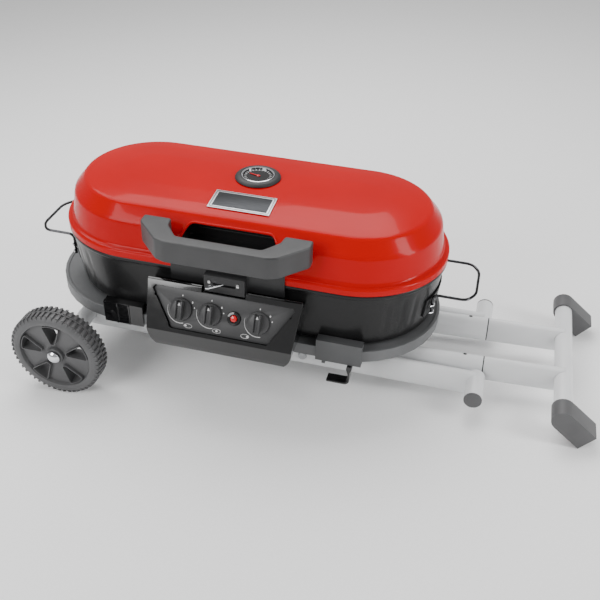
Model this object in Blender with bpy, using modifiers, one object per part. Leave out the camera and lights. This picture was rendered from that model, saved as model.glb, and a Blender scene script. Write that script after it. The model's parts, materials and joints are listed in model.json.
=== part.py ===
"""Portable three-burner gas grill on a folding wheeled stand, modelled folded.

Everything is placed in the grill's own frame: X runs along the grill, Y from front to back,
Z up, and the origin is the centre of the plane where the lid closes on the bowl. The empty
grill_frame then leans and lifts that frame so that the wheels and both feet stand on z = 0.
"""
from math import asin, atan, atan2, cos, degrees, hypot, pi, radians, sin, sqrt

import bmesh
import bpy
from mathutils import Matrix, Vector

MM = 0.001

# ---- clearances ----
GAP = 0.4 * MM            # between pieces that touch
RUN = 0.25 * MM           # round a pin or a rod that turns

# ---- lid and bowl: a long oval, two half circles joined by straight sides ----
RIM_LENGTH = 690 * MM
RIM_WIDTH = 316 * MM
RIM_R = RIM_WIDTH / 2
HALF_STRAIGHT = (RIM_LENGTH - RIM_WIDTH) / 2
LID_HEIGHT = 93 * MM
LID_WALL = 1.2 * MM
BOWL_DEPTH = 113 * MM
BOWL_WALL = 1.4 * MM
BOWL_TOP_R = RIM_R - 4.5 * MM
BOWL_FOOT_R = RIM_R - 17 * MM
ARC_STEPS = 18            # segments in each half circle

# ---- lid hinges, at the back ----
HINGE_Y = RIM_R + 7 * MM
HINGE_Z = -5 * MM
HINGE_X = 170 * MM
HINGE_PIN_R = 2.5 * MM
HINGE_EYE_R = 5 * MM
HINGE_STRAP_W = 26 * MM

# ---- lid handle and the cup behind it ----
HANDLE_END_X = 141 * MM
HANDLE_BEND_X = 92 * MM
HANDLE_FRONT_Y = -221 * MM
HANDLE_DEPTH = 24 * MM
HANDLE_TOP_Z = 88 * MM
HANDLE_TALL = 40 * MM
CUP_HALF_W = 90 * MM                   # along its lower edge
CUP_TOP_HALF_W = 74 * MM
CUP_LOW_Z = 29 * MM
CUP_HIGH_Z = 75 * MM
CUP_BACK_Y = -100 * MM
CUP_WALL = 1.6 * MM

# ---- lid trim ----
GAUGE_R = 40 * MM
GAUGE_Y = 16 * MM
BADGE_Y = -73.5 * MM
BADGE_SIZE = (107 * MM, 53 * MM, 2 * MM)

# ---- lid latch ----
LATCH_HALF_W = 98 * MM
LATCH_TOP_Z = 40 * MM
LATCH_FOOT_Z = -23 * MM
LATCH_PLATE_T = 3 * MM
LATCH_BOX_HALF_W = 35 * MM
LATCH_BOX_D = 14 * MM
LATCH_BOX_Z = (-26 * MM, 6 * MM)
LATCH_LEVER_T = 2.5 * MM
LATCH_LEVER_LENGTH = 36 * MM
LATCH_LEVER_REST = radians(-50)        # swung to the locked side

# ---- control panel ----
PANEL_TOP = (-178 * MM, -28 * MM)      # y, z of the panel's upper edge
PANEL_FOOT = (-209 * MM, -88 * MM)     # y, z of its lower edge
PANEL_TOP_HALF_W = 122 * MM
PANEL_FOOT_HALF_W = 88 * MM
PANEL_T = 3 * MM
PANEL_LEDGE = 5 * MM
HOUSING_HALF_W = 134 * MM
HOUSING_TOP_Z = -15.5 * MM
HOUSING_LEDGE_Z = -31 * MM
HOUSING_FOOT_Z = -141 * MM
HOUSING_RIM = 5 * MM                   # stands this far above the panel
HOUSING_CORNER = 38 * MM
HOUSING_WALL = 3 * MM
KNOB_R = 19.5 * MM
KNOB_TALL = 17 * MM
KNOB_SLOPE = 34 * MM                   # down the panel from its upper edge
KNOB_X = {"left": -70 * MM, "centre": -19 * MM, "right": 64 * MM}
STEM_R = 3.5 * MM
IGNITER_X = 22 * MM
IGNITER_R = 6 * MM
IGNITER_TRAVEL = 3 * MM

# ---- gas train and cooking parts ----
MANIFOLD_DEEP = 27 * MM               # behind the panel's face
MANIFOLD_R = 6 * MM
BURNER_R = 8 * MM
BURNER_RISE = 37 * MM                  # above the bowl's floor
GRATE_Z = -22 * MM
GRATE_T = 6 * MM
GRATE_R = 141 * MM
PAN_TALL = 14 * MM

# ---- side tables, stowed under the bowl ----
TABLE_HALF_W = 157 * MM
TABLE_TALL = 22 * MM
TABLE_WALL = 3 * MM
TABLE_TOP_Z = -(BOWL_DEPTH + 1.5 * MM)
TABLE_FOOT_Z = TABLE_TOP_Z - TABLE_TALL
TABLE_INNER_X = 15 * MM
TABLE_LEFT_X = -212 * MM               # centre of each rounded end
TABLE_RIGHT_X = 187 * MM

# ---- brackets under the bowl ----
GUIDE_X = (-231 * MM, -158 * MM)
SADDLE_PLATE_X = (154 * MM, 233 * MM)
BRACKET_T = 3 * MM
BRACKET_RISE = 16.5 * MM                # brackets climb the bowl this far above the tables
BRACKET_TOP_Z = TABLE_TOP_Z + BRACKET_RISE
SADDLE_OUT_Y = 126 * MM
LIP_REACH = 46 * MM
LEVER_PIN_R = 3 * MM
LEVER_PIN_LENGTH = 28 * MM

# ---- wire handles ----
WIRE_R = 2.5 * MM
WIRE_HALF_W = 57 * MM
WIRE_REACH = 56 * MM                   # past the rim's end
WIRE_Z = -40 * MM
WIRE_FOOT_Z = -80 * MM
WIRE_PLATE_T = 3 * MM

# ---- stand: two frames of flat oval tube crossed at a pin ----
WHEEL_R = 85 * MM
WHEEL_W = 40 * MM
AXLE_X = -300 * MM
CROSS_TUBE_Z = -183 * MM
CROSS_TUBE_R = 15.5 * MM
CROSS_TUBE_WALL = 1.5 * MM
ROD_R = 6 * MM
AXLE_TUBE_HALF = 160 * MM
WHEEL_MID_Y = 215 * MM
LEG_DROP = 6 * MM                      # leg centre line below the cross tubes' line
LEG_HALF_TALL = 25 * MM
LEG_HALF_THICK = 12 * MM
LEG_WALL = 1.5 * MM
OUTER_LEG_Y = 88 * MM
INNER_LEG_Y = 57 * MM
LATCH_STUB_X = 425.5 * MM
LATCH_STUB_END = 138 * MM
CAP_T = 4 * MM
CROSSING_X = 118 * MM
INNER_RISE = radians(2.3)              # inner frame climbs to the right when folded
FOOT_BAR_X = 571 * MM
FOOT_BAR_HALF = 152 * MM
SLEEVE_END_X = 434 * MM
PIN_R = 4 * MM
PIVOT_X = -189.4 * MM                  # the inner frame's hinge on the grill
PIVOT_Z = -165 * MM
LUG_T = 4 * MM
FOOT_WALL = 3.5 * MM
FOOT_LENGTH_Y = 36 * MM
OPEN_ANGLE = radians(49)               # each frame's slope when the stand is up

# ---- values that follow from the ones above ----
WIRE_OUT_X = RIM_LENGTH / 2 + WIRE_REACH
BURNER_Z = BURNER_RISE - BOWL_DEPTH
LEG_Z = CROSS_TUBE_Z - LEG_DROP
LATCH_PIVOT = Vector((0, -RIM_R - GAP - LATCH_PLATE_T - 5 * MM, sum(LATCH_BOX_Z) / 2))
WHEEL_CENTRE = Vector((AXLE_X, 0, CROSS_TUBE_Z))
LATCH_STUB = Vector((LATCH_STUB_X, 0, CROSS_TUBE_Z))
CROSSING = Vector((CROSSING_X, 0, LEG_Z))
PIVOT = Vector((PIVOT_X, 0, PIVOT_Z))
INNER_END_Z = LEG_Z + (FOOT_BAR_X - CROSSING_X) * sin(INNER_RISE) / cos(INNER_RISE)
FOOT_BAR = Vector((FOOT_BAR_X, 0, INNER_END_Z + LEG_DROP))
INNER_TURN = OPEN_ANGLE + INNER_RISE   # inner frame's turn from level grill to open stand
FOOT_ANGLE = pi / 2 - INNER_TURN       # the foot points straight down on the open stand
FOOT_HALF_W = CROSS_TUBE_R + FOOT_WALL
BRACKET_IN_Y = TABLE_HALF_W + 0.6 * MM
BRACKET_OUT_Y = BRACKET_IN_Y + BRACKET_T
LIP_Z = TABLE_FOOT_Z - 0.6 * MM
LEVER_AXIS = Vector((SADDLE_PLATE_X[1] - 19 * MM, 0, LIP_Z - BRACKET_T - GAP - 5.5 * MM))


def turned_height(point, about, angle):
    """Height of a point above `about` after the frame that holds it turns by `angle`."""
    offset = point - about
    return offset.x * sin(angle) + offset.z * cos(angle)


# On the open stand the foot bar's centre is this far above the floor.
FOOT_LENGTH = (WHEEL_R + turned_height(CROSSING, WHEEL_CENTRE, OPEN_ANGLE)
               + turned_height(FOOT_BAR, CROSSING, -INNER_TURN))
FOOT_DIR = Vector((cos(FOOT_ANGLE), 0, -sin(FOOT_ANGLE)))
FOOT_SIDE = Vector((-sin(FOOT_ANGLE), 0, -cos(FOOT_ANGLE)))
FOOT_TOE = FOOT_BAR + FOOT_DIR * FOOT_LENGTH + FOOT_SIDE * FOOT_HALF_W


def folded_lean():
    """Slope of the line that touches the wheel and the foot's lowest corner from below."""
    reach = FOOT_TOE - WHEEL_CENTRE
    return atan2(reach.z, reach.x) + asin(WHEEL_R / hypot(reach.x, reach.z))


LEAN = folded_lean()


def panel_basis():
    """Directions down the panel's slope and out of its face."""
    down = Vector((0, PANEL_FOOT[0] - PANEL_TOP[0], PANEL_FOOT[1] - PANEL_TOP[1]))
    length = down.length
    down.normalize()
    return down, down.cross(Vector((1, 0, 0))), length


PANEL_DOWN, PANEL_OUT, PANEL_SLOPE = panel_basis()


def panel_point(x, slope, out=0.0):
    return Vector((x, *PANEL_TOP)) + PANEL_DOWN * slope + PANEL_OUT * out


MANIFOLD = panel_point(0, KNOB_SLOPE, -MANIFOLD_DEEP)


# ---------------------------------------------------------------- scene and materials

def clear_scene():
    for obj in list(bpy.data.objects):
        bpy.data.objects.remove(obj, do_unlink=True)


def new_collection(name):
    collection = bpy.data.collections.new(name)
    bpy.context.scene.collection.children.link(collection)
    return collection


def finish(name, colour, roughness, metallic=0.0):
    """A Principled material from an sRGB colour given as three 0..1 values."""
    mat = bpy.data.materials.new(name)
    mat.use_nodes = True
    shader = mat.node_tree.nodes["Principled BSDF"]
    linear = [((c + 0.055) / 1.055) ** 2.4 if c > 0.04 else c / 12.92 for c in colour]
    shader.inputs["Base Color"].default_value = (*linear, 1.0)
    shader.inputs["Roughness"].default_value = roughness
    shader.inputs["Metallic"].default_value = metallic
    return mat


clear_scene()
PARTS = new_collection("portable_grill")
CUTTERS = new_collection("cutters")

RED_ENAMEL = finish("red_enamel", (0.89, 0.12, 0.15), 0.2)
BLACK_ENAMEL = finish("black_enamel", (0.19, 0.19, 0.19), 0.4)
GREY_PAINT = finish("grey_paint", (0.77, 0.77, 0.77), 0.35)
GREY_PLASTIC = finish("grey_plastic", (0.36, 0.36, 0.36), 0.6)
BLACK_PLASTIC = finish("black_plastic", (0.1, 0.1, 0.1), 0.3)
SATIN_PLASTIC = finish("satin_plastic", (0.28, 0.28, 0.28), 0.5)
DARK_STEEL = finish("dark_steel", (0.33, 0.33, 0.33), 0.5, 0.4)
CHROME = finish("chrome", (0.85, 0.85, 0.87), 0.1, 1.0)
STEEL = finish("steel", (0.6, 0.6, 0.6), 0.35, 1.0)
BRASS = finish("brass", (0.75, 0.6, 0.3), 0.3, 1.0)
CAST_IRON = finish("cast_iron", (0.12, 0.12, 0.12), 0.7, 0.2)
RED_PLASTIC = finish("red_plastic", (0.8, 0.1, 0.12), 0.3)


# ---------------------------------------------------------------- frames and placing

def empty(name, place, parent=None):
    """An empty at `place` in the grill's frame; its children turn or slide about it."""
    obj = bpy.data.objects.new(name, None)
    PARTS.objects.link(obj)
    obj.empty_display_size = 0.03
    if parent is not None:
        obj.parent = parent
        obj.location = Vector(place) - absolute_place(parent)
    else:
        obj.location = place
    return obj


def absolute_place(obj):
    """An empty's place in the grill's frame, which is the sum of its parents' offsets."""
    place = Vector((0, 0, 0))
    while obj is not None and obj is not GRILL_FRAME:
        place += obj.location
        obj = obj.parent
    return place


def add(name, mesh, mat, pivot, sharp=40):
    """Put a mesh made in the grill's frame under a pivot, as a named and finished part."""
    obj = bpy.data.objects.new(name, mesh)
    PARTS.objects.link(obj)
    mesh.materials.append(mat)
    mesh.shade_smooth()
    mesh.set_sharp_from_angle(angle=radians(sharp))
    obj.parent = pivot
    obj.location = -absolute_place(pivot)
    return obj


def boolean(obj, mesh, operation="DIFFERENCE"):
    """Cut, join or intersect a part with a mesh that is also in the grill's frame."""
    tool = bpy.data.objects.new(obj.name + "_" + operation.lower(), mesh)
    CUTTERS.objects.link(tool)
    tool.hide_render = True
    tool.display_type = "WIRE"
    tool.parent = obj.parent
    tool.location = obj.location
    mod = obj.modifiers.new(operation.title(), "BOOLEAN")
    mod.object = tool
    mod.operation = operation
    mod.solver = "EXACT"
    return tool


# ---------------------------------------------------------------- mesh makers

def mesh_from(bm, name="shape"):
    mesh = bpy.data.meshes.new(name)
    bm.to_mesh(mesh)
    bm.free()
    return mesh


def box_mesh(low, high, rounded=0.0):
    """A box between two corners, with its edges rounded if asked."""
    low, high = Vector(low), Vector(high)
    bm = bmesh.new()
    size = Matrix.Diagonal((*(high - low), 1.0))
    bmesh.ops.create_cube(bm, size=1.0, matrix=Matrix.Translation((low + high) / 2) @ size)
    if rounded:
        bmesh.ops.bevel(bm, geom=list(bm.edges), offset=rounded, segments=2, profile=0.5,
                        affect="EDGES", clamp_overlap=True)
    return mesh_from(bm)


def rod_mesh(start, end, radius, sides=24, end_radius=None):
    """A solid cylinder, or a cone, between two points."""
    start, end = Vector(start), Vector(end)
    axis = end - start
    turn = axis.to_track_quat("Z", "Y").to_matrix().to_4x4()
    bm = bmesh.new()
    bmesh.ops.create_cone(bm, cap_ends=True, segments=sides, radius1=radius,
                          radius2=radius if end_radius is None else end_radius,
                          depth=axis.length,
                          matrix=Matrix.Translation((start + end) / 2) @ turn)
    return mesh_from(bm)


def arc(centre, radius, start, end, steps):
    """Points on an arc in two dimensions, with angles in radians."""
    return [(centre[0] + radius * cos(start + (end - start) * i / steps),
             centre[1] + radius * sin(start + (end - start) * i / steps))
            for i in range(steps + 1)]


def ellipse(half_u, half_v, sides):
    return [(half_u * cos(2 * pi * i / sides), half_v * sin(2 * pi * i / sides))
            for i in range(sides)]


# An outline's own u and v lie along these directions, and it is extruded along the third.
ALONG_Y = Matrix(((1, 0, 0), (0, 0, -1), (0, 1, 0))).to_4x4()     # u = X, v = Z
ALONG_X = Matrix(((0, 0, 1), (1, 0, 0), (0, 1, 0))).to_4x4()      # u = Y, v = Z
ALONG_Z = Matrix.Identity(4)                                      # u = X, v = Y


def outline_mesh(outlines, half_thickness, basis=ALONG_Z, place=(0, 0, 0)):
    """A flat outline, and holes in it, as a filled 2D curve extruded to both sides."""
    curve = bpy.data.curves.new("outline", "CURVE")
    curve.dimensions = "2D"
    curve.fill_mode = "BOTH"
    curve.extrude = half_thickness
    for outline in outlines:
        spline = curve.splines.new("POLY")
        spline.points.add(len(outline) - 1)
        for point, (u, v) in zip(spline.points, outline):
            point.co = (u, v, 0, 1)
        spline.use_cyclic_u = True
    return solid_from_curve(curve, Matrix.Translation(place) @ basis)


def solid_from_curve(curve, matrix=Matrix.Identity(4)):
    """A curve's surface as one closed mesh, with its caps welded and its faces outward."""
    obj = bpy.data.objects.new("curve", curve)
    bpy.context.scene.collection.objects.link(obj)
    depsgraph = bpy.context.evaluated_depsgraph_get()
    mesh = bpy.data.meshes.new_from_object(obj.evaluated_get(depsgraph))
    bpy.data.objects.remove(obj, do_unlink=True)
    bpy.data.curves.remove(curve)
    bm = bmesh.new()
    bm.from_mesh(mesh)
    bmesh.ops.remove_doubles(bm, verts=bm.verts, dist=1e-6)
    bmesh.ops.recalc_face_normals(bm, faces=bm.faces)
    bm.transform(matrix)
    bm.to_mesh(mesh)
    bm.free()
    mesh.materials.clear()
    return mesh


def rounded_path(corners, radius, steps=4):
    """A path through corner points, each inner corner replaced by a smooth bend."""
    points = [Vector(corners[0])]
    for before, corner, after in zip(corners, corners[1:], corners[2:]):
        corner = Vector(corner)
        to_before = Vector(before) - corner
        to_after = Vector(after) - corner
        cut = min(radius, to_before.length * 0.49, to_after.length * 0.49)
        start = corner + to_before.normalized() * cut
        end = corner + to_after.normalized() * cut
        for i in range(steps + 1):
            t = i / steps
            points.append(start * (1 - t) ** 2 + corner * (2 * t * (1 - t)) + end * t ** 2)
    points.append(Vector(corners[-1]))
    return points


def wire_mesh(points, radius, resolution=2):
    """A round bar or tube, filled at both ends, along a list of points."""
    curve = bpy.data.curves.new("wire", "CURVE")
    curve.dimensions = "3D"
    curve.bevel_depth = radius
    curve.bevel_resolution = resolution
    curve.use_fill_caps = True
    spline = curve.splines.new("POLY")
    spline.points.add(len(points) - 1)
    for point, place in zip(spline.points, points):
        point.co = (*place, 1)
    return solid_from_curve(curve)


def turned(name, profile, mat, pivot, place, direction, steps=32):
    """A part turned about an axis: its (radius, height) profile runs down the outer side."""
    mesh = bpy.data.meshes.new(name)
    closed = profile[0][0] > 0
    count = len(profile)
    edges = [(i, i + 1) for i in range(count - 1)]
    if closed:
        edges.append((count - 1, 0))
    mesh.from_pydata([(r, 0, h) for r, h in profile], edges, [])
    obj = bpy.data.objects.new(name, mesh)
    PARTS.objects.link(obj)
    mesh.materials.append(mat)
    obj.parent = pivot
    obj.location = Vector(place) - absolute_place(pivot)
    obj.rotation_mode = "QUATERNION"
    obj.rotation_quaternion = Vector(direction).to_track_quat("Z", "Y")
    screw = obj.modifiers.new("Turn", "SCREW")
    screw.axis = "Z"
    screw.steps = steps
    screw.render_steps = steps
    screw.use_merge_vertices = True
    screw.merge_threshold = 1e-5
    screw.use_smooth_shade = True
    return obj


def cut_turned(obj, mesh):
    """A cutter, given in the grill's frame, for a part that has its own place and turn."""
    tool = boolean(obj, mesh)
    tool.location = -absolute_place(obj.parent)
    return tool


def oval_sweep(profile, half_straight, steps=ARC_STEPS):
    """Sweep a (radius, height) profile once round a long oval, as an open or closed skin."""
    bm = bmesh.new()
    start = [bm.verts.new((half_straight, -r, z)) for r, z in profile]
    edges = [bm.edges.new(pair) for pair in zip(start, start[1:])]
    geom = start + edges
    axis = (0, 0, 1)
    moves = ((half_straight, 0.0), (-half_straight, -2 * half_straight))
    for centre_x, shift in moves:
        if shift:
            geom = extrude_along(bm, geom, (shift, 0, 0))
        spun = bmesh.ops.spin(bm, geom=geom, cent=(centre_x, 0, 0), axis=axis, angle=pi,
                              steps=steps, use_duplicate=False)
        geom = spun["geom_last"]
    extrude_along(bm, geom, (2 * half_straight, 0, 0))
    bmesh.ops.remove_doubles(bm, verts=bm.verts, dist=1e-5)
    bmesh.ops.dissolve_degenerate(bm, edges=bm.edges, dist=1e-6)
    return bm


def extrude_along(bm, geom, shift):
    edges = [item for item in geom if isinstance(item, bmesh.types.BMEdge)]
    result = bmesh.ops.extrude_edge_only(bm, edges=edges)["geom"]
    verts = [item for item in result if isinstance(item, bmesh.types.BMVert)]
    bmesh.ops.translate(bm, verts=verts, vec=shift)
    return verts + [item for item in result if isinstance(item, bmesh.types.BMEdge)]


def oval_shell(profile, half_straight, outside_up):
    """An oval skin with its faces turned to the outside, ready for its wall thickness."""
    bm = oval_sweep(profile, half_straight)
    bmesh.ops.recalc_face_normals(bm, faces=bm.faces)
    middle = min(bm.faces, key=lambda face: face.calc_center_median().to_2d().length)
    if (middle.normal.z > 0) != outside_up:
        bmesh.ops.reverse_faces(bm, faces=bm.faces)
    return mesh_from(bm)


def add_wall(obj, thickness):
    wall = obj.modifiers.new("Wall", "SOLIDIFY")
    wall.thickness = thickness
    wall.offset = -1
    wall.use_even_offset = True
    return wall


# ---------------------------------------------------------------- stand

def leg_section(clearance=0.0):
    """The flat oval tube's outer and inner outlines."""
    outer = ellipse(LEG_HALF_THICK - clearance, LEG_HALF_TALL - clearance, 24)
    inner = ellipse(LEG_HALF_THICK - LEG_WALL - clearance, LEG_HALF_TALL - LEG_WALL - clearance, 24)
    return [outer, inner]


def leg_mesh(y, start_x, end_x, rise=0.0, clearance=0.0):
    """A straight length of leg between two X places, on the line through the crossing."""
    slope = Matrix.Translation(CROSSING) @ Matrix.Rotation(-rise, 4, "Y") @ Matrix.Translation(-CROSSING)
    middle = ((start_x + end_x) / 2, y, LEG_Z)
    mesh = outline_mesh(leg_section(clearance), (end_x - start_x) / 2, ALONG_X, middle)
    mesh.transform(slope)
    return mesh


def across(place, half, radius, sides=24):
    """A round bar across the grill at a place in the X-Z plane."""
    return rod_mesh((place.x, -half, place.z), (place.x, half, place.z), radius, sides)


def round_tube(name, place, half, pivot, bore=None):
    """A painted cross tube: a turned ring along Y."""
    bore = CROSS_TUBE_R - CROSS_TUBE_WALL if bore is None else bore
    profile = [(bore, half), (CROSS_TUBE_R, half), (CROSS_TUBE_R, -half), (bore, -half)]
    return turned(name, profile, GREY_PAINT, pivot, place, (0, 1, 0), 28)


def build_axle(root):
    """The fixed rod with its chrome end caps, and the two wheels that spin on it."""
    tip = WHEEL_MID_Y + WHEEL_W / 2 + 2 * MM
    add("wheel_axle", across(WHEEL_CENTRE, tip, ROD_R), STEEL, root)
    hub_r = ROD_R + RUN
    half = WHEEL_W / 2
    profile = [(hub_r, half), (14 * MM, half), (15.5 * MM, half - 1.5 * MM),
               (16 * MM, half - 5 * MM), (66 * MM, half - 5 * MM), (68 * MM, half - 2 * MM),
               (78 * MM, half), (WHEEL_R, half - 4 * MM), (WHEEL_R, -half + 4 * MM),
               (78 * MM, -half), (69 * MM, -half), (67 * MM, -half + 14 * MM),
               (18 * MM, -half + 14 * MM), (17 * MM, -half), (hub_r, -half)]
    for name, side in (("front", -1), ("rear", 1)):
        centre = WHEEL_CENTRE + Vector((0, side * WHEEL_MID_Y, 0))
        pivot = empty("wheel_pivot_" + name, centre, root)
        wheel = turned("wheel_" + name, profile, GREY_PLASTIC, pivot, centre, (0, side, 0), 40)
        for index in range(5):
            cut_turned(wheel, wheel_pocket(centre, radians(72 * index + 18)))
        cap_r = 12 * MM
        seat = tip + GAP
        cap = [(0, 6 * MM), (5 * MM, 5.4 * MM), (9 * MM, 3.6 * MM), (cap_r, 0.8 * MM),
               (cap_r, 0), (0, 0)]
        turned("axle_cap_" + name, cap, CHROME, root,
               (AXLE_X, side * seat, CROSS_TUBE_Z), (0, side, 0), 24)


def wheel_pocket(centre, angle):
    """A triangular opening in the wheel's web, narrow at the hub."""
    corners = ((22 * MM, -3 * MM), (61 * MM, -14 * MM), (61 * MM, 14 * MM), (22 * MM, 3 * MM))
    outline = [(r * cos(angle) - s * sin(angle), r * sin(angle) + s * cos(angle))
               for r, s in corners]
    return outline_mesh([outline], WHEEL_W, ALONG_Y, centre)


def build_outer_frame(pivot):
    """The frame that carries the wheels; a stub welded to each leg's other end latches it."""
    round_tube("axle_tube", WHEEL_CENTRE, AXLE_TUBE_HALF, pivot, ROD_R + RUN)
    for name, side in (("front", -1), ("rear", 1)):
        leg = add("leg_outer_" + name, leg_mesh(side * OUTER_LEG_Y, AXLE_X, LATCH_STUB.x),
                  GREY_PAINT, pivot)
        boolean(leg, across(WHEEL_CENTRE, WHEEL_MID_Y, CROSS_TUBE_R + GAP, 28))
        weld_y = side * (OUTER_LEG_Y - LEG_HALF_THICK)
        boolean(leg, rod_mesh((LATCH_STUB.x, weld_y, LATCH_STUB.z),
                              (LATCH_STUB.x, side * LATCH_STUB_END, LATCH_STUB.z), CROSS_TUBE_R, 28),
                "UNION")
        boolean(leg, across(CROSSING, WHEEL_MID_Y, PIN_R + RUN))
        cap_y = side * (LATCH_STUB_END + GAP)
        cap = [(0, CAP_T), (CROSS_TUBE_R - MM, CAP_T), (CROSS_TUBE_R, CAP_T - MM),
               (CROSS_TUBE_R, 0), (0, 0)]
        turned("latch_cap_" + name, cap, GREY_PLASTIC, pivot,
               (LATCH_STUB.x, cap_y, LATCH_STUB.z), (0, side, 0), 24)
        build_crossing_pin(name, side, pivot)


def build_crossing_pin(name, side, pivot):
    """The rivet that joins an outer leg to the inner leg beside it."""
    outside = OUTER_LEG_Y + LEG_HALF_THICK + GAP
    inside = INNER_LEG_Y - LEG_HALF_THICK - GAP
    head_r = 8 * MM
    head_t = 2.5 * MM
    profile = [(0, outside + head_t), (head_r - MM, outside + head_t), (head_r, outside),
               (PIN_R, outside), (PIN_R, inside), (head_r, inside),
               (head_r, inside - head_t), (0, inside - head_t)]
    turned("scissor_pin_" + name, profile, STEEL, pivot, CROSSING, (0, side, 0), 20)


def build_inner_frame(pivot):
    """The frame hinged to the grill, with slide-in leg ends and the foot bar."""
    round_tube("foot_bar", FOOT_BAR, FOOT_BAR_HALF, pivot)
    sleeve_start = PIVOT_X - 26 * MM
    for name, side in (("front", -1), ("rear", 1)):
        y = side * INNER_LEG_Y
        sleeve = add("leg_inner_" + name, leg_mesh(y, sleeve_start, SLEEVE_END_X, INNER_RISE),
                     GREY_PAINT, pivot)
        lug_y = side * (INNER_LEG_Y - LEG_HALF_THICK)
        boolean(sleeve, lug_mesh(lug_y), "UNION")
        boolean(sleeve, across(CROSSING, WHEEL_MID_Y, PIN_R + RUN))
        boolean(sleeve, across(PIVOT, INNER_LEG_Y, PIN_R + RUN))
        extension = add("leg_extension_" + name,
                        leg_mesh(y, SLEEVE_END_X + 2 * MM, FOOT_BAR_X, INNER_RISE),
                        GREY_PAINT, pivot)
        boolean(extension, across(FOOT_BAR, WHEEL_MID_Y, CROSS_TUBE_R + GAP, 28))
        build_foot(name, side, pivot)


def lug_mesh(y):
    """A plate on the inner leg's inner side that lifts the hinge above the tube."""
    half_w = 15 * MM
    foot_z = LEG_Z - 14 * MM
    outline = ([(PIVOT_X - half_w, foot_z), (PIVOT_X + half_w, foot_z)]
               + arc((PIVOT_X, PIVOT_Z), half_w, 0, pi, 8))
    return outline_mesh([outline], LUG_T / 2, ALONG_Y, (0, y, 0))


def build_foot(name, side, pivot):
    """A plastic shoe on the end of the foot bar, with a flat pad that meets the ground."""
    start = atan2(FOOT_DIR.z, FOOT_DIR.x)
    back = arc((0, 0), FOOT_HALF_W, start + pi / 2, start + 3 * pi / 2, 10)
    toe = FOOT_DIR * FOOT_LENGTH
    pad = [(toe.x + FOOT_SIDE.x * w, toe.z + FOOT_SIDE.z * w) for w in (FOOT_HALF_W, -FOOT_HALF_W)]
    inner_end = FOOT_BAR_HALF - 16 * MM
    middle = Vector((0, side * (inner_end + FOOT_LENGTH_Y / 2), 0))
    shoe = add("foot_" + name,
               outline_mesh([back + pad], FOOT_LENGTH_Y / 2, ALONG_Y, FOOT_BAR + middle),
               GREY_PLASTIC, pivot)
    socket_end = side * (FOOT_BAR_HALF + GAP)
    boolean(shoe, rod_mesh((FOOT_BAR.x, side * (inner_end - 10 * MM), FOOT_BAR.z),
                           (FOOT_BAR.x, socket_end, FOOT_BAR.z), CROSS_TUBE_R + GAP, 28))


# ---------------------------------------------------------------- bowl and what hangs on it

def build_bowl(pivot):
    """The enamelled bowl with its rolled rim, open where the three burner tubes enter."""
    corner = 9 * MM
    foot = -BOWL_DEPTH
    profile = [(BOWL_TOP_R, -1 * MM), (RIM_R - 1.5 * MM, -1 * MM), (RIM_R - 0.5 * MM, -3 * MM),
               (RIM_R - 0.5 * MM, -6.5 * MM), (RIM_R - 2 * MM, -8.5 * MM),
               (BOWL_TOP_R, -10 * MM), (BOWL_FOOT_R + 1.2 * MM, foot + corner),
               (BOWL_FOOT_R - 1.5 * MM, foot + corner * 0.4), (BOWL_FOOT_R - 7 * MM, foot), (0, foot)]
    bowl = add("bowl", oval_shell(profile, HALF_STRAIGHT, False), BLACK_ENAMEL, pivot, 30)
    add_wall(bowl, BOWL_WALL)
    for x in KNOB_X.values():
        boolean(bowl, rod_mesh((x, -RIM_R - 5 * MM, BURNER_Z), (x, -120 * MM, BURNER_Z),
                               BURNER_R + 1.5 * MM))


def bowl_wall_r(z):
    """The bowl's outer radius at a height on its sloping side."""
    top_z = -10 * MM
    foot_z = -BOWL_DEPTH + 9 * MM
    share = (z - top_z) / (foot_z - top_z)
    return BOWL_TOP_R + (BOWL_FOOT_R + 1.2 * MM - BOWL_TOP_R) * share


def build_bowl_hinges(pivot):
    """Two forks on the bowl's back, each with its pin."""
    for name, side in (("left", -1), ("right", 1)):
        x = side * HINGE_X
        inner = HINGE_STRAP_W / 2 + GAP
        ear = 4 * MM
        top_z = HINGE_Z + HINGE_EYE_R
        wall_y = RIM_R + GAP
        fork = add("bowl_hinge_" + name,
                   box_mesh((x - inner - ear, wall_y, HINGE_Z - 26 * MM),
                            (x + inner + ear, HINGE_Y + HINGE_EYE_R, top_z)), DARK_STEEL, pivot)
        boolean(fork, box_mesh((x - inner, wall_y - MM, HINGE_Z - HINGE_EYE_R - MM),
                               (x + inner, HINGE_Y + 10 * MM, top_z + MM)))
        boolean(fork, rod_mesh((x - inner - ear / 2, HINGE_Y, HINGE_Z),
                               (x + inner + ear / 2, HINGE_Y, HINGE_Z), HINGE_PIN_R, 16), "UNION")


def build_lid_hinges(pivot):
    """Straps screwed to the lid's back, each with an eye round the pin."""
    for name, side in (("left", -1), ("right", 1)):
        x = side * HINGE_X
        half = HINGE_STRAP_W / 2
        plate_y = RIM_R + GAP
        plate_t = 3 * MM
        strap = add("lid_hinge_" + name,
                    box_mesh((x - half, plate_y, HINGE_Z), (x + half, plate_y + plate_t, 34 * MM)),
                    DARK_STEEL, pivot)
        boolean(strap, box_mesh((x - half, 149 * MM, 19 * MM), (x + half, plate_y + MM, 34 * MM)),
                "UNION")
        boolean(strap, rod_mesh((x - half, HINGE_Y, HINGE_Z), (x + half, HINGE_Y, HINGE_Z),
                                HINGE_EYE_R, 20), "UNION")
        boolean(strap, rod_mesh((x - half - MM, HINGE_Y, HINGE_Z), (x + half + MM, HINGE_Y, HINGE_Z),
                                HINGE_PIN_R + RUN, 16))


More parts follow.
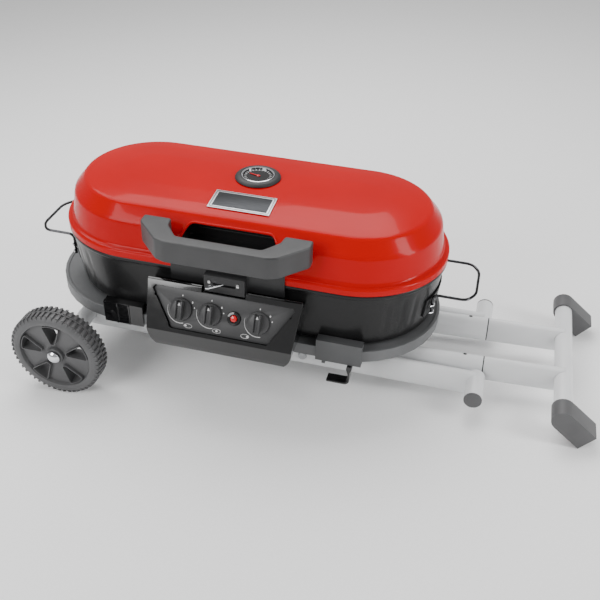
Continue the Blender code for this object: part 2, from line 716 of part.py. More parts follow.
def build_pivot_bracket(pivot):
    """The steel channel under the bowl that the inner frame hinges on, and its rod."""
    half = INNER_LEG_Y - LEG_HALF_THICK - LUG_T / 2 - 3 * MM
    x0, x1 = PIVOT_X - 16 * MM, PIVOT_X + 16 * MM
    top = -BOWL_DEPTH - GAP
    plate = 3 * MM
    foot = PIVOT_Z - 12 * MM
    bracket = add("pivot_bracket", box_mesh((x0, -half, foot), (x1, half, top)), DARK_STEEL, pivot)
    boolean(bracket, box_mesh((x0 - MM, -half + plate, foot - MM), (x1 + MM, half - plate, top - plate)))
    boolean(bracket, across(PIVOT, half + MM, PIN_R + RUN, 20))
    add("pivot_rod", across(PIVOT, INNER_LEG_Y - LEG_HALF_THICK + LUG_T, PIN_R, 20), STEEL, pivot)


def bracket_mesh(x_range, side, lip_in_y, foot_extra=0.0):
    """A plate down the bowl's side with a foot that turns in under the side table."""
    top_y = bowl_wall_r(BRACKET_TOP_Z) + GAP
    step_z = TABLE_TOP_Z + 1.0 * MM
    lip_foot = LIP_Z - BRACKET_T - foot_extra
    outline = [(top_y, BRACKET_TOP_Z), (BRACKET_OUT_Y, BRACKET_TOP_Z), (BRACKET_OUT_Y, lip_foot),
               (lip_in_y, lip_foot), (lip_in_y, LIP_Z), (BRACKET_IN_Y, LIP_Z),
               (BRACKET_IN_Y, step_z), (top_y, step_z)]
    outline = [(side * y, z) for y, z in outline]
    half = (x_range[1] - x_range[0]) / 2
    return outline_mesh([outline], half, ALONG_X, ((x_range[0] + x_range[1]) / 2, 0, 0))


def build_brackets(pivot):
    """Guides for the left table, and the plates with saddles that the latch stubs seat in."""
    for name, side in (("front", -1), ("rear", 1)):
        guide = add("table_guide_" + name, bracket_mesh(GUIDE_X, side, BRACKET_IN_Y - 14 * MM),
                    BLACK_PLASTIC, pivot)
        for x in (GUIDE_X[0] + 24 * MM, GUIDE_X[0] + 46 * MM):
            rib = box_mesh((x, side * (BRACKET_OUT_Y - MM), LIP_Z - BRACKET_T + 0.5 * MM),
                           (x + 2.5 * MM, side * (BRACKET_OUT_Y + 2 * MM), BRACKET_TOP_Z - MM))
            fix_winding(rib)
            boolean(guide, rib, "UNION")
        saddle = add("saddle_bracket_" + name,
                     bracket_mesh(SADDLE_PLATE_X, side, BRACKET_IN_Y - LIP_REACH), DARK_STEEL, pivot)
        boolean(saddle, saddle_mesh(side), "UNION")
        boolean(saddle, across(LEVER_AXIS, WHEEL_MID_Y, LEVER_PIN_R + RUN))


def fix_winding(mesh):
    """Turn a mesh's faces outward where a box was given with a mirrored corner."""
    bm = bmesh.new()
    bm.from_mesh(mesh)
    bmesh.ops.recalc_face_normals(bm, faces=bm.faces)
    bm.to_mesh(mesh)
    bm.free()


def latch_place():
    """Where the latch stubs' centre line lies in the level grill's frame when the stand is up."""
    turn = Matrix.Rotation(-OPEN_ANGLE, 3, "Y")
    back = Matrix.Rotation(INNER_TURN, 3, "Y")
    stub = turn @ (LATCH_STUB - CROSSING)
    hinge = back @ (PIVOT - CROSSING)
    return PIVOT + stub - hinge


LATCH_PLACE = latch_place()


def saddle_mesh(side):
    """The block under the bracket whose notch a latch stub slides into."""
    y_in = BRACKET_IN_Y - LIP_REACH + 0.5 * MM
    y_out = SADDLE_OUT_Y
    top = LIP_Z - BRACKET_T / 2
    centre = LATCH_PLACE
    roof = centre.z + CROSS_TUBE_R + 1.2 * MM
    stop = centre.x - CROSS_TUBE_R - 1.0 * MM
    stop_w = 6 * MM
    nose = LEVER_AXIS.x + 9 * MM
    outline = [(stop - stop_w, top), (stop - stop_w, roof - 8 * MM), (stop, roof - 8 * MM),
               (stop, roof - 4 * MM), (stop + 4 * MM, roof), (nose, roof + 1 * MM), (nose, top)]
    return outline_mesh([outline], (y_out - y_in) / 2, ALONG_Y, (0, side * (y_in + y_out) / 2, 0))


def build_release_lever(pivot):
    """A hooked lever at the front: pulling its finger tab frees the stand."""
    y_in = LATCH_STUB_END + CAP_T + 3 * MM
    y_out = BRACKET_OUT_Y + 4 * MM
    t = 3.5 * MM
    x, z = LEVER_AXIS.x, LEVER_AXIS.z
    foot = z - 34 * MM
    tab = x - 38 * MM
    outline = (arc((x, z), 5 * MM, radians(-30), radians(200), 8)
               + [(x - 1.5 * MM, z - 12 * MM), (x - 1.5 * MM, foot + 8 * MM)]
               + arc((x - 7 * MM, foot + 8 * MM), 5.5 * MM, 0, -pi / 2, 4)
               + [(tab, foot + 2.5 * MM), (tab, foot + 2.5 * MM - t)]
               + arc((x - 7 * MM, foot + 8 * MM), 5.5 * MM + t, -pi / 2, 0, 5)
               + [(x + 2 * MM, z - 8 * MM)])
    lever = add("release_lever",
                outline_mesh([outline], (y_out - y_in) / 2, ALONG_Y, (0, -(y_in + y_out) / 2, 0)),
                BLACK_PLASTIC, pivot)
    boolean(lever, rod_mesh((x, -y_in - MM, z), (x, -y_in + LEVER_PIN_LENGTH, z), LEVER_PIN_R, 16),
            "UNION")


def d_outline(centre_x, inner_x, radius, side):
    """A table's outline: a half circle at the outer end and straight sides inward."""
    end = arc((centre_x, 0), radius, -pi / 2, pi / 2, 20)
    outline = [(x if side > 0 else 2 * centre_x - x, y) for x, y in end]
    return outline + [(inner_x, radius), (inner_x, -radius)]


def build_side_table(name, side, centre_x, pivot):
    """A shallow tray with its open side down, stowed under one end of the bowl."""
    middle_z = (TABLE_TOP_Z + TABLE_FOOT_Z) / 2
    inner_x = side * TABLE_INNER_X
    table = add("side_table_" + name,
                outline_mesh([d_outline(centre_x, inner_x, TABLE_HALF_W, side)], TABLE_TALL / 2,
                             ALONG_Z, (0, 0, middle_z)), GREY_PLASTIC, pivot)
    inner = d_outline(centre_x, inner_x + side * TABLE_WALL, TABLE_HALF_W - TABLE_WALL, side)
    boolean(table, outline_mesh([inner], TABLE_TALL / 2, ALONG_Z, (0, 0, middle_z - TABLE_WALL - 2 * MM)))
    top = d_outline(centre_x, inner_x + side * TABLE_WALL, TABLE_HALF_W - 6 * MM, side)
    boolean(table, outline_mesh([top], 2 * MM, ALONG_Z, (0, 0, TABLE_TOP_Z + 0.5 * MM)))
    if side < 0:
        slot_y = INNER_LEG_Y - 8 * MM
        boolean(table, box_mesh((PIVOT_X - 26 * MM, -slot_y, TABLE_FOOT_Z - MM),
                                (inner_x + 5 * MM, slot_y, TABLE_TOP_Z + MM)))


def band_mesh(profile, centre_x, half_angle, side, steps=8):
    """A closed (radius, height) outline swept part of the way round one end of the bowl."""
    bm = bmesh.new()
    verts = [bm.verts.new((centre_x + side * r, 0, z)) for r, z in profile]
    edges = [bm.edges.new((verts[i], verts[(i + 1) % len(verts)])) for i in range(len(verts))]
    bmesh.ops.rotate(bm, verts=verts, cent=(centre_x, 0, 0),
                     matrix=Matrix.Rotation(-half_angle, 3, "Z"))
    bmesh.ops.spin(bm, geom=verts + edges, cent=(centre_x, 0, 0), axis=(0, 0, 1),
                   angle=2 * half_angle, steps=steps, use_duplicate=False)
    bmesh.ops.holes_fill(bm, edges=bm.edges, sides=0)
    bmesh.ops.recalc_face_normals(bm, faces=bm.faces)
    return mesh_from(bm)


def build_wire_handle(name, side, pivot):
    """A chrome carrying loop on the bowl's end, and the curved plate it is clamped to."""
    centre_x = side * HALF_STRAIGHT
    top_z, foot_z = WIRE_Z - 8 * MM, WIRE_FOOT_Z - 4 * MM
    profile = [(bowl_wall_r(z) + GAP + out, z)
               for z, out in ((top_z, 0), (foot_z, 0), (foot_z, WIRE_PLATE_T), (top_z, WIRE_PLATE_T))]
    half_angle = asin((WIRE_HALF_W + 9 * MM) / bowl_wall_r(top_z))
    add("handle_plate_" + name, band_mesh(profile, centre_x, half_angle, side), BLACK_PLASTIC, pivot)
    stand_off = bowl_wall_r(top_z) + GAP * 2 + WIRE_PLATE_T + WIRE_R
    wall_x = side * (HALF_STRAIGHT + sqrt(stand_off ** 2 - WIRE_HALF_W ** 2))
    out_x = side * WIRE_OUT_X
    half = WIRE_HALF_W
    corners = [(wall_x, half, WIRE_FOOT_Z), (wall_x, half, WIRE_Z), (out_x - side * 14 * MM, half, WIRE_Z),
               (out_x, half - 22 * MM, WIRE_Z), (out_x, -half + 22 * MM, WIRE_Z),
               (out_x - side * 14 * MM, -half, WIRE_Z), (wall_x, -half, WIRE_Z),
               (wall_x, -half, WIRE_FOOT_Z)]
    add("wire_handle_" + name, wire_mesh(rounded_path(corners, 12 * MM), WIRE_R), CHROME, pivot)


# ---------------------------------------------------------------- controls and gas train

def housing_outlines(inset):
    """The control housing's side profile (y, z) and front outline (x, z), drawn in by inset."""
    behind = 12 * MM if inset else -GAP
    ledge_z = HOUSING_LEDGE_Z - inset
    out = HOUSING_RIM - inset * 1.6
    slope_top = panel_point(0, -9 * MM + inset, out)
    slope_foot = panel_point(0, PANEL_SLOPE + 8 * MM, out)
    foot_z = HOUSING_FOOT_Z + inset
    table_y = -TABLE_HALF_W - 1.5 * MM + max(behind, 0)
    side = [(behind - bowl_wall_r(HOUSING_LEDGE_Z), ledge_z),
            (behind - bowl_wall_r(BRACKET_TOP_Z), BRACKET_TOP_Z), (table_y, -BOWL_DEPTH + MM),
            (table_y, foot_z), (-194 * MM, foot_z), (-213 * MM + inset, -122 * MM + inset),
            (slope_foot.y, slope_foot.z), (slope_top.y, slope_top.z)]
    if inset:
        side.append((slope_top.y + 0.5 * MM, ledge_z))
    else:
        side += [(slope_top.y + 4 * MM, HOUSING_TOP_Z), (slope_top.y + 6 * MM, ledge_z)]
    half = HOUSING_HALF_W - inset
    foot_half = half - 8 * MM
    right = arc((foot_half - HOUSING_CORNER, foot_z + HOUSING_CORNER), HOUSING_CORNER, -pi / 2, 0, 10)
    right += [(half, HOUSING_TOP_Z + MM)]
    front = right + [(-x, z) for x, z in reversed(right)]
    return side, front


def housing_solid(inset):
    """The housing's two outlines as extrusions whose common part is its shape."""
    side, front = housing_outlines(inset)
    return (outline_mesh([side], HOUSING_HALF_W + MM, ALONG_X),
            outline_mesh([front], 60 * MM, ALONG_Y, (0, -185 * MM, 0)))


def panel_outline(grow):
    """The control panel's outline: u along X, v up the slope from its lower edge."""
    top, foot = PANEL_TOP_HALF_W + grow, PANEL_FOOT_HALF_W + grow
    radius = 8 * MM
    low, high = -grow, PANEL_SLOPE + grow
    left_low = arc((-foot + radius, low + radius), radius, pi, 3 * pi / 2, 3)
    right_low = arc((foot - radius, low + radius), radius, 3 * pi / 2, 2 * pi, 3)
    return left_low + right_low + [(top, high - 6 * MM), (top - 4 * MM, high),
                                   (-top + 4 * MM, high), (-top, high - 6 * MM)]


def panel_solid(grow, low, high):
    """The panel's outline as a slab between two heights above the panel's face."""
    basis = Matrix((Vector((1, 0, 0)), -PANEL_DOWN, PANEL_OUT)).transposed().to_4x4()
    place = panel_point(0, PANEL_SLOPE, (low + high) / 2)
    return outline_mesh([panel_outline(grow)], (high - low) / 2, basis, place)


def build_controls(pivot):
    """The control housing, its inset panel, three knobs and the igniter button."""
    side, front = housing_solid(0.0)
    housing = add("control_housing", side, BLACK_PLASTIC, pivot, 25)
    boolean(housing, front, "INTERSECT")
    inner_side, inner_front = housing_solid(HOUSING_WALL)
    hollow = boolean(housing, inner_side)
    trim = bpy.data.objects.new("housing_hollow_outline", inner_front)
    CUTTERS.objects.link(trim)
    trim.hide_render = True
    trim.display_type = "WIRE"
    trim.parent = hollow.parent
    trim.location = hollow.location
    clip = hollow.modifiers.new("Outline", "BOOLEAN")
    clip.object = trim
    clip.operation = "INTERSECT"
    clip.solver = "EXACT"
    boolean(housing, box_mesh((-LATCH_BOX_HALF_W - 3 * MM, -200 * MM, LATCH_BOX_Z[0] - 3 * MM),
                              (LATCH_BOX_HALF_W + 3 * MM, -RIM_R, 0)))
    boolean(housing, panel_solid(GAP, -PANEL_T - GAP, 20 * MM))
    boolean(housing, panel_solid(-PANEL_LEDGE, -20 * MM, 5 * MM))

    panel = add("control_panel", panel_solid(0.0, -PANEL_T, 0.0), SATIN_PLASTIC, pivot, 25)
    for x in KNOB_X.values():
        boolean(panel, rod_mesh(panel_point(x, KNOB_SLOPE, -10 * MM), panel_point(x, KNOB_SLOPE, 5 * MM),
                                STEM_R + 2 * RUN, 16))
    boolean(panel, rod_mesh(panel_point(IGNITER_X, KNOB_SLOPE, -10 * MM),
                            panel_point(IGNITER_X, KNOB_SLOPE, 5 * MM), IGNITER_R + 2 * RUN, 20))
    for name, x in KNOB_X.items():
        build_knob(name, x, pivot)
    base = panel_point(IGNITER_X, KNOB_SLOPE, -8 * MM)
    slide = empty("igniter_slide", base, pivot)
    button = [(0, 12 * MM), (IGNITER_R - MM, 12 * MM), (IGNITER_R, 11 * MM), (IGNITER_R, 0), (0, 0)]
    turned("igniter_button", button, RED_PLASTIC, slide, base, PANEL_OUT, 24)


def build_knob(name, x, pivot):
    """A burner knob with a grip bar across it, on a stem that passes through the panel."""
    base = panel_point(x, KNOB_SLOPE, GAP)
    spin = empty("knob_pivot_" + name, base, pivot)
    profile = [(0, 6 * MM), (KNOB_R - 3 * MM, 6 * MM), (KNOB_R - 0.8 * MM, 4 * MM), (KNOB_R, 0),
               (STEM_R, 0), (STEM_R, -PANEL_T - 5 * MM), (0, -PANEL_T - 5 * MM)]
    knob = turned("knob_" + name, profile, BLACK_PLASTIC, spin, base, PANEL_OUT, 32)
    grip_w, grip_l = 5 * MM, KNOB_R - 2 * MM
    outline = [(-grip_w, -grip_l), (grip_w, -grip_l), (grip_w, grip_l), (-grip_w, grip_l)]
    grip = outline_mesh([outline], (KNOB_TALL - 4 * MM) / 2)
    grip.transform(Matrix.Translation((0, 0, (KNOB_TALL + 4 * MM) / 2)))
    tool = boolean(knob, grip, "UNION")
    tool.location = knob.location
    tool.rotation_mode = "QUATERNION"
    tool.rotation_quaternion = knob.rotation_quaternion


def build_gas_train(pivot):
    """The manifold with its three valves, and the gas inlet that drops from its left end."""
    y, z = MANIFOLD.y, MANIFOLD.z
    left, right = -102 * MM, 100 * MM
    manifold = add("gas_manifold", rod_mesh((left, y, z), (right, y, z), MANIFOLD_R, 20), BRASS, pivot)
    for x in KNOB_X.values():
        top = panel_point(x, KNOB_SLOPE, -PANEL_T - 5 * MM)
        boolean(manifold, rod_mesh((x, y, z), top, 7 * MM, 16), "UNION")
        boolean(manifold, rod_mesh((x, y, z), (x, y, BURNER_Z - 4 * MM), 4.5 * MM, 12), "UNION")
    inlet_x, inlet_foot = left + 8 * MM, HOUSING_FOOT_Z - 8 * MM
    inlet = add("gas_inlet", rod_mesh((inlet_x, y, z - MANIFOLD_R - GAP), (inlet_x, y, inlet_foot), 8 * MM, 6),
                BRASS, pivot)
    boolean(inlet, rod_mesh((inlet_x, y, inlet_foot + 12 * MM), (inlet_x, y, inlet_foot - MM), 5 * MM, 16))
    boolean(bpy.data.objects["control_housing"],
            rod_mesh((inlet_x, y, HOUSING_FOOT_Z + 25 * MM), (inlet_x, y, inlet_foot - 5 * MM), 9 * MM, 20))


def build_burners(pivot):
    """A U-shaped burner under each end and a straight one between them."""
    start_y = MANIFOLD.y + MANIFOLD_R + MM
    paths = {"left": [(KNOB_X["left"], start_y), (KNOB_X["left"], -70 * MM), (-245 * MM, -70 * MM),
                      (-245 * MM, 70 * MM), (-80 * MM, 70 * MM)],
             "right": [(KNOB_X["right"], start_y), (KNOB_X["right"], -70 * MM), (245 * MM, -70 * MM),
                       (245 * MM, 70 * MM), (80 * MM, 70 * MM)],
             "centre": [(KNOB_X["centre"], start_y), (KNOB_X["centre"], -100 * MM), (0, -60 * MM),
                        (0, 100 * MM)]}
    for name, path in paths.items():
        corners = [(x, y, BURNER_Z) for x, y in path]
        add("burner_" + name, wire_mesh(rounded_path(corners, 28 * MM, 5), BURNER_R, 3), STEEL, pivot)


def half_oval(inner_x, half_straight, radius, side):
    """One half of a long oval: a rounded end and a straight inner edge."""
    end = arc((half_straight, 0), radius, -pi / 2, pi / 2, 16)
    return [(side * x, y) for x, y in end] + [(side * inner_x, radius), (side * inner_x, -radius)]


def build_grates(pivot):
    """Two cast-iron grates, each a rim with bars running front to back."""
    middle_z = GRATE_Z
    for name, side in (("left", -1), ("right", 1)):
        inner_x = 1.0 * MM
        grate = add("grate_" + name,
                    outline_mesh([half_oval(inner_x, HALF_STRAIGHT, GRATE_R, side)], GRATE_T / 2,
                                 ALONG_Z, (0, 0, middle_z)), CAST_IRON, pivot, 25)
        pitch = 24 * MM
        bar = 7 * MM
        rim = 9 * MM
        slots = bmesh.new()
        for index in range(13):
            x = inner_x + rim + index * pitch
            end_x = x + pitch - bar
            reach = max(0.0, end_x - HALF_STRAIGHT)
            half_y = sqrt((GRATE_R - rim) ** 2 - reach ** 2) if reach < GRATE_R - rim else 0.0
            if half_y < 20 * MM:
                break
            middle = Matrix.Translation((side * (x + end_x) / 2, 0, middle_z))
            size = Matrix.Diagonal((end_x - x, 2 * half_y, 2 * GRATE_T, 1))
            bmesh.ops.create_cube(slots, size=1.0, matrix=middle @ size)
        boolean(grate, mesh_from(slots))


def build_water_pan(pivot):
    """A shallow lift-out pan on the bowl's floor, under the burners."""
    foot = -BOWL_DEPTH + BOWL_WALL + GAP
    profile = [(112 * MM, foot + PAN_TALL), (104 * MM, foot + 4 * MM), (99 * MM, foot), (0, foot)]
    pan = add("water_pan", oval_shell(profile, HALF_STRAIGHT - 20 * MM, False), STEEL, pivot, 30)
    add_wall(pan, MM)


# ---------------------------------------------------------------- lid and what it carries

LID_PROFILE = [(0, LID_HEIGHT), (52 * MM, LID_HEIGHT - 1.6 * MM), (92 * MM, LID_HEIGHT - 4.6 * MM),
               (116 * MM, 85.6 * MM), (121 * MM, 83.2 * MM), (138.4 * MM, 62.4 * MM),
               (140.8 * MM, 58 * MM), (147.6 * MM, 17 * MM), (149.6 * MM, 14 * MM),
               (154.5 * MM, 13 * MM), (RIM_R, 10.5 * MM), (RIM_R, 0)]


def build_lid(pivot):
    """The enamelled lid, open for the handle's cup and for the gauge."""
    lid = add("lid_shell", oval_shell(list(reversed(LID_PROFILE)), HALF_STRAIGHT, True), RED_ENAMEL,
              pivot, 30)
    add_wall(lid, LID_WALL)
    boolean(lid, cup_prism(GAP, -RIM_R - 10 * MM, CUP_BACK_Y - 6 * MM))
    boolean(lid, rod_mesh((0, GAUGE_Y, 60 * MM), (0, GAUGE_Y, 110 * MM), 9 * MM))


def cup_prism(grow, front, back):
    """The cup's outline, wider along its lower edge, carried between two Y places."""
    low, high = CUP_HALF_W + grow, CUP_TOP_HALF_W + grow
    outline = [(-low, CUP_LOW_Z - grow), (low, CUP_LOW_Z - grow), (low, CUP_LOW_Z + 12 * MM),
               (high, CUP_HIGH_Z + grow), (-high, CUP_HIGH_Z + grow), (-low, CUP_LOW_Z + 12 * MM)]
    return outline_mesh([outline], (back - front) / 2, ALONG_Y, (0, (back + front) / 2, 0))


def build_handle_recess(pivot):
    """The moulded cup let into the lid's front, so that fingers reach behind the handle."""
    side = [(CUP_BACK_Y + MM, CUP_HIGH_Z + MM), (-128 * MM, CUP_HIGH_Z + MM), (-140 * MM, 60 * MM),
            (-145 * MM, CUP_LOW_Z - MM), (CUP_BACK_Y + MM, CUP_LOW_Z - MM)]
    cup = add("handle_recess", outline_mesh([side], RIM_WIDTH / 2, ALONG_X), BLACK_PLASTIC, pivot)
    boolean(cup, cup_prism(0, -RIM_R, CUP_BACK_Y), "INTERSECT")
    boolean(cup, cup_prism(-CUP_WALL, -RIM_R, CUP_BACK_Y - CUP_WALL))


def build_lid_handle(pivot):
    """A bow handle that stands off the lid's front, held at both ends."""
    seat_y = -149.5 * MM
    front, back = HANDLE_FRONT_Y, HANDLE_FRONT_Y + HANDLE_DEPTH
    end_x, bend_x = HANDLE_END_X, HANDLE_BEND_X
    inner_x = CUP_HALF_W - 3 * MM
    right_out = [(bend_x - 8 * MM, front), (bend_x + 6 * MM, front + 5 * MM), (end_x, seat_y - 14 * MM),
                 (end_x, seat_y)]
    right_in = [(inner_x + 8 * MM, seat_y), (inner_x + 2 * MM, seat_y - 20 * MM),
                (inner_x - 12 * MM, back)]
    half = right_out + right_in
    outline = half + [(-x, y) for x, y in reversed(half)]
    foot_z = HANDLE_TOP_Z - HANDLE_TALL
    handle = add("lid_handle",
                 outline_mesh([outline], HANDLE_TALL / 2, ALONG_Z, (0, 0, foot_z + HANDLE_TALL / 2)),
                 SATIN_PLASTIC, pivot)
    round_edges = handle.modifiers.new("Edges", "BEVEL")
    round_edges.width = 3 * MM
    round_edges.segments = 2
    round_edges.limit_method = "ANGLE"
    round_edges.angle_limit = radians(50)


def build_lid_trim(pivot):
    """The gauge's bezel and dial, and a blank badge plate, on the lid's crown."""
    crown = LID_HEIGHT - 1.6 * MM
    seat = crown + GAP + 1.4 * MM
    bezel = [(26 * MM, 5 * MM), (30 * MM, 6 * MM), (GAUGE_R - 2 * MM, 3.5 * MM), (GAUGE_R, 0),
             (26 * MM, 0)]
    turned("thermometer_bezel", bezel, BLACK_PLASTIC, pivot, (0, GAUGE_Y, seat), (0, 0, 1), 36)
    dial = [(0, 3.5 * MM), (25.5 * MM, 3.5 * MM), (25.5 * MM, 0), (8 * MM, 0), (8 * MM, -9 * MM),
            (3 * MM, -10 * MM), (3 * MM, -45 * MM), (0, -45 * MM)]
    turned("thermometer_dial", dial, STEEL, pivot, (0, GAUGE_Y, seat), (0, 0, 1), 32)
    badge_z = LID_HEIGHT - 3.2 * MM + 1.2 * GAP
    half_x, half_y, thick = BADGE_SIZE[0] / 2, BADGE_SIZE[1] / 2, BADGE_SIZE[2]
    tilt = Matrix.Rotation(radians(4.3), 4, "X")
    mesh = box_mesh((-half_x, -half_y, 0), (half_x, half_y, thick), 0.5 * MM)
    mesh.transform(Matrix.Translation((0, BADGE_Y, badge_z)) @ tilt)
    add("badge_plate", mesh, STEEL, pivot)


def build_latch(pivot):
    """The guard plate on the lid's front, with the box that holds the latch lever."""
    back_y = -RIM_R - GAP
    front_y = back_y - LATCH_PLATE_T
    plate = add("latch_plate",
                box_mesh((-LATCH_HALF_W, front_y, LATCH_FOOT_Z), (LATCH_HALF_W, back_y, LATCH_TOP_Z)),
                BLACK_PLASTIC, pivot)
    low_z, high_z = LATCH_BOX_Z
    box_front = front_y - LATCH_BOX_D
    boolean(plate, box_mesh((-LATCH_BOX_HALF_W, box_front, low_z), (LATCH_BOX_HALF_W, front_y + MM, high_z)),
            "UNION")
    slot_half = 19 * MM
    slot_z = LATCH_LEVER_T / 2 + MM
    boolean(plate, box_mesh((-slot_half, box_front - MM, LATCH_PIVOT.z - slot_z),
                            (slot_half, front_y - MM, LATCH_PIVOT.z + slot_z)))


def build_latch_lever(pivot):
    """A flat lever whose outer end swings across the slot between locked and unlocked."""
    half_w = 3.5 * MM
    outline = (arc((0, 0), half_w, 0, pi, 8)
               + [(-half_w, 4 * MM - LATCH_LEVER_LENGTH), (4 * MM - half_w, -LATCH_LEVER_LENGTH),
                  (half_w - 2 * MM, -LATCH_LEVER_LENGTH), (half_w, 4 * MM - LATCH_LEVER_LENGTH)])
    mesh = outline_mesh([outline], LATCH_LEVER_T / 2)
    mesh.transform(Matrix.Translation(LATCH_PIVOT) @ Matrix.Rotation(LATCH_LEVER_REST, 4, "Z"))
    add("latch_lever", mesh, STEEL, pivot)


# ---------------------------------------------------------------- assembly

GRILL_FRAME = empty("grill_frame", (0, 0, 0))


def build():
    root = empty("axle_body", WHEEL_CENTRE, GRILL_FRAME)
    outer = empty("outer_frame_pivot", WHEEL_CENTRE, GRILL_FRAME)
    inner = empty("inner_frame_pivot", CROSSING, GRILL_FRAME)
    grill = empty("grill_pivot", PIVOT, GRILL_FRAME)
    build_axle(root)
    build_outer_frame(outer)
    build_inner_frame(inner)

    build_bowl(grill)
    build_bowl_hinges(grill)
    build_pivot_bracket(grill)
    build_brackets(grill)
    build_release_lever(empty("release_lever_pivot", LEVER_AXIS, grill))
    build_side_table("left", -1, TABLE_LEFT_X, empty("left_table_slide", (TABLE_LEFT_X, 0, TABLE_TOP_Z), grill))
    build_side_table("right", 1, TABLE_RIGHT_X,
                     empty("right_table_slide", (TABLE_RIGHT_X, 0, TABLE_TOP_Z), grill))
    build_wire_handle("left", -1, grill)
    build_wire_handle("right", 1, grill)
    build_controls(grill)
    build_gas_train(grill)
    build_burners(grill)
    build_grates(grill)
    build_water_pan(grill)

    lid = empty("lid_pivot", (0, HINGE_Y, HINGE_Z), grill)
    build_lid(lid)
    build_lid_hinges(lid)
    build_lid_handle(lid)
    build_handle_recess(lid)
    build_lid_trim(lid)
    build_latch(lid)
    build_latch_lever(empty("latch_lever_pivot", LATCH_PIVOT, lid))
    stand_on_floor()


def stand_on_floor():
    """Lean the folded grill onto its feet and centre its box over the origin."""
    GRILL_FRAME.rotation_euler = (0, LEAN, 0)
    bpy.context.view_layer.update()
    depsgraph = bpy.context.evaluated_depsgraph_get()
    places = []
    for obj in PARTS.objects:
        if obj.type == "MESH":
            solid = obj.evaluated_get(depsgraph)
            places += [solid.matrix_world @ vert.co for vert in solid.data.vertices]
    low = Vector([min(p[i] for p in places) for i in range(3)])
    high = Vector([max(p[i] for p in places) for i in range(3)])
    GRILL_FRAME.location = (-(low.x + high.x) / 2, -(low.y + high.y) / 2, -low.z)
    bpy.context.view_layer.update()


build()
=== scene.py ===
"""Portable gas grill on a folding wheeled stand: the finished look of every piece, and its stage.

The pieces are laid out in the grill's own frame (X along the grill, Y front to back, Z up, origin
at the centre of the plane where the lid closes) and GRILL leans that frame onto its wheels and feet.
"""
import json
from math import atan2, cos, degrees, hypot, pi, radians, sin, sqrt

import bmesh
import bpy
from bpy.props import FloatProperty, IntProperty, PointerProperty
from mathutils import Matrix, Vector


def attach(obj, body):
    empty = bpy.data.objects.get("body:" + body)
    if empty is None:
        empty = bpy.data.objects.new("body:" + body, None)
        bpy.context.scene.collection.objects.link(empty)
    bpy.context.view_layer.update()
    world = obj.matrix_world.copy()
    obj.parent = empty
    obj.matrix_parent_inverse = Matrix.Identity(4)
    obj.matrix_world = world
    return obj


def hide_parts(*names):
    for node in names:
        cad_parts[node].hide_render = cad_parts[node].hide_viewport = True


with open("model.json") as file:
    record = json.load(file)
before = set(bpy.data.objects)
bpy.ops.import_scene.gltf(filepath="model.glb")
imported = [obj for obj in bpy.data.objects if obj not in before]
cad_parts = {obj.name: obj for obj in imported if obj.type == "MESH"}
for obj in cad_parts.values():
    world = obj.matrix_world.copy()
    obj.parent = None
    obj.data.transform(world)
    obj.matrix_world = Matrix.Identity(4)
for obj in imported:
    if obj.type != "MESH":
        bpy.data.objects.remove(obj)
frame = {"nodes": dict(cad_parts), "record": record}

bl_info = {
    "name": "Portable Gas Grill",
    "version": (1, 0, 0),
    "blender": (4, 5, 0),
    "location": "View3D > Sidebar > Grill",
    "description": "Builds the finished pieces of a portable gas grill over its jointed frame",
    "category": "Object",
}

MM = 0.001


def mm(*values):
    """A place or a size given in millimetres, in metres."""
    return tuple(value * MM for value in values)


def scaled(points):
    """A list of places given in millimetres, in metres."""
    return [mm(*point) for point in points]


NODES = frame["nodes"]
BODY_OF = {node: body for body, nodes in frame["record"]["behaviour"]["bodies"].items() for node in nodes}

# ---- the folded grill's lean, and where its own origin stands in the world ----
LEAN = radians(3.300839)
GRILL = Matrix.Translation((-0.1056698, 0, 0.2504228)) @ Matrix.Rotation(LEAN, 4, "Y")

# ---- lid and bowl ----
HALF_STRAIGHT = 187 * MM
RIM_R = 158 * MM
LID_PROFILE = [(0, 93), (52, 91.4), (92, 88.4), (116, 85.6), (121, 83.2), (138.4, 62.4), (140.8, 58),
               (147.6, 17), (149.6, 14), (154.5, 13), (158, 10.5), (158, 0)]
BOWL_PROFILE = [(153.5, -1), (156.5, -1), (157.5, -3), (157.5, -6.5), (156, -8.5), (153.5, -10),
                (142.2, -104), (139.5, -109.4), (134, -113), (0, -113)]
CUP_HALF_W = 90 * MM
CUP_TOP_HALF_W = 74 * MM
CUP_LOW_Z = 29 * MM
CUP_HIGH_Z = 75 * MM
CUP_BACK_Y = -101.5 * MM
HINGE_X = 170 * MM
SCREW_PITCH = 14 * MM
BURNER_Z = -76 * MM
FLUTE_ANGLES = (38, 48, 58)           # degrees round each end of the bowl

# ---- controls ----
PANEL_TOP = Vector(mm(0, -178, -28))
PANEL_DOWN = Vector((0, -31, -60)).normalized()
PANEL_OUT = PANEL_DOWN.cross(Vector((1, 0, 0)))
PANEL_SLOPE = 67.54 * MM
KNOB_SLOPE = 34 * MM
KNOB_X = {"left": -70 * MM, "centre": -19 * MM, "right": 64 * MM}
IGNITER_X = 22 * MM

PRINT_T = 0.15 * MM                   # thickness of the white print

# ---- stand ----
CROSSING = Vector(mm(118, 0, -189))   # where the inner legs cross the outer legs
INNER_RISE = radians(-2.3)            # slope of the folded inner legs
INNER_LEG_Y = 57 * MM
WHEEL_CENTRE = Vector(mm(-300, 0, -183))
WHEEL_MID_Y = 215 * MM
GAUGE_PLACE = Vector(mm(0, 16, 93.2))

TO_X = Matrix(((0, 0, 1), (1, 0, 0), (0, 1, 0))).to_4x4()   # lays an outline (y, z) across X

# ---- camera, in the grill's frame ----
CAMERA_PLACE = Vector((0.376, -1.225, 0.774))
CAMERA_YAW, CAMERA_PITCH, CAMERA_ROLL = 0.2321, 0.6290, 0.0352
CAMERA_LENS = 49.94


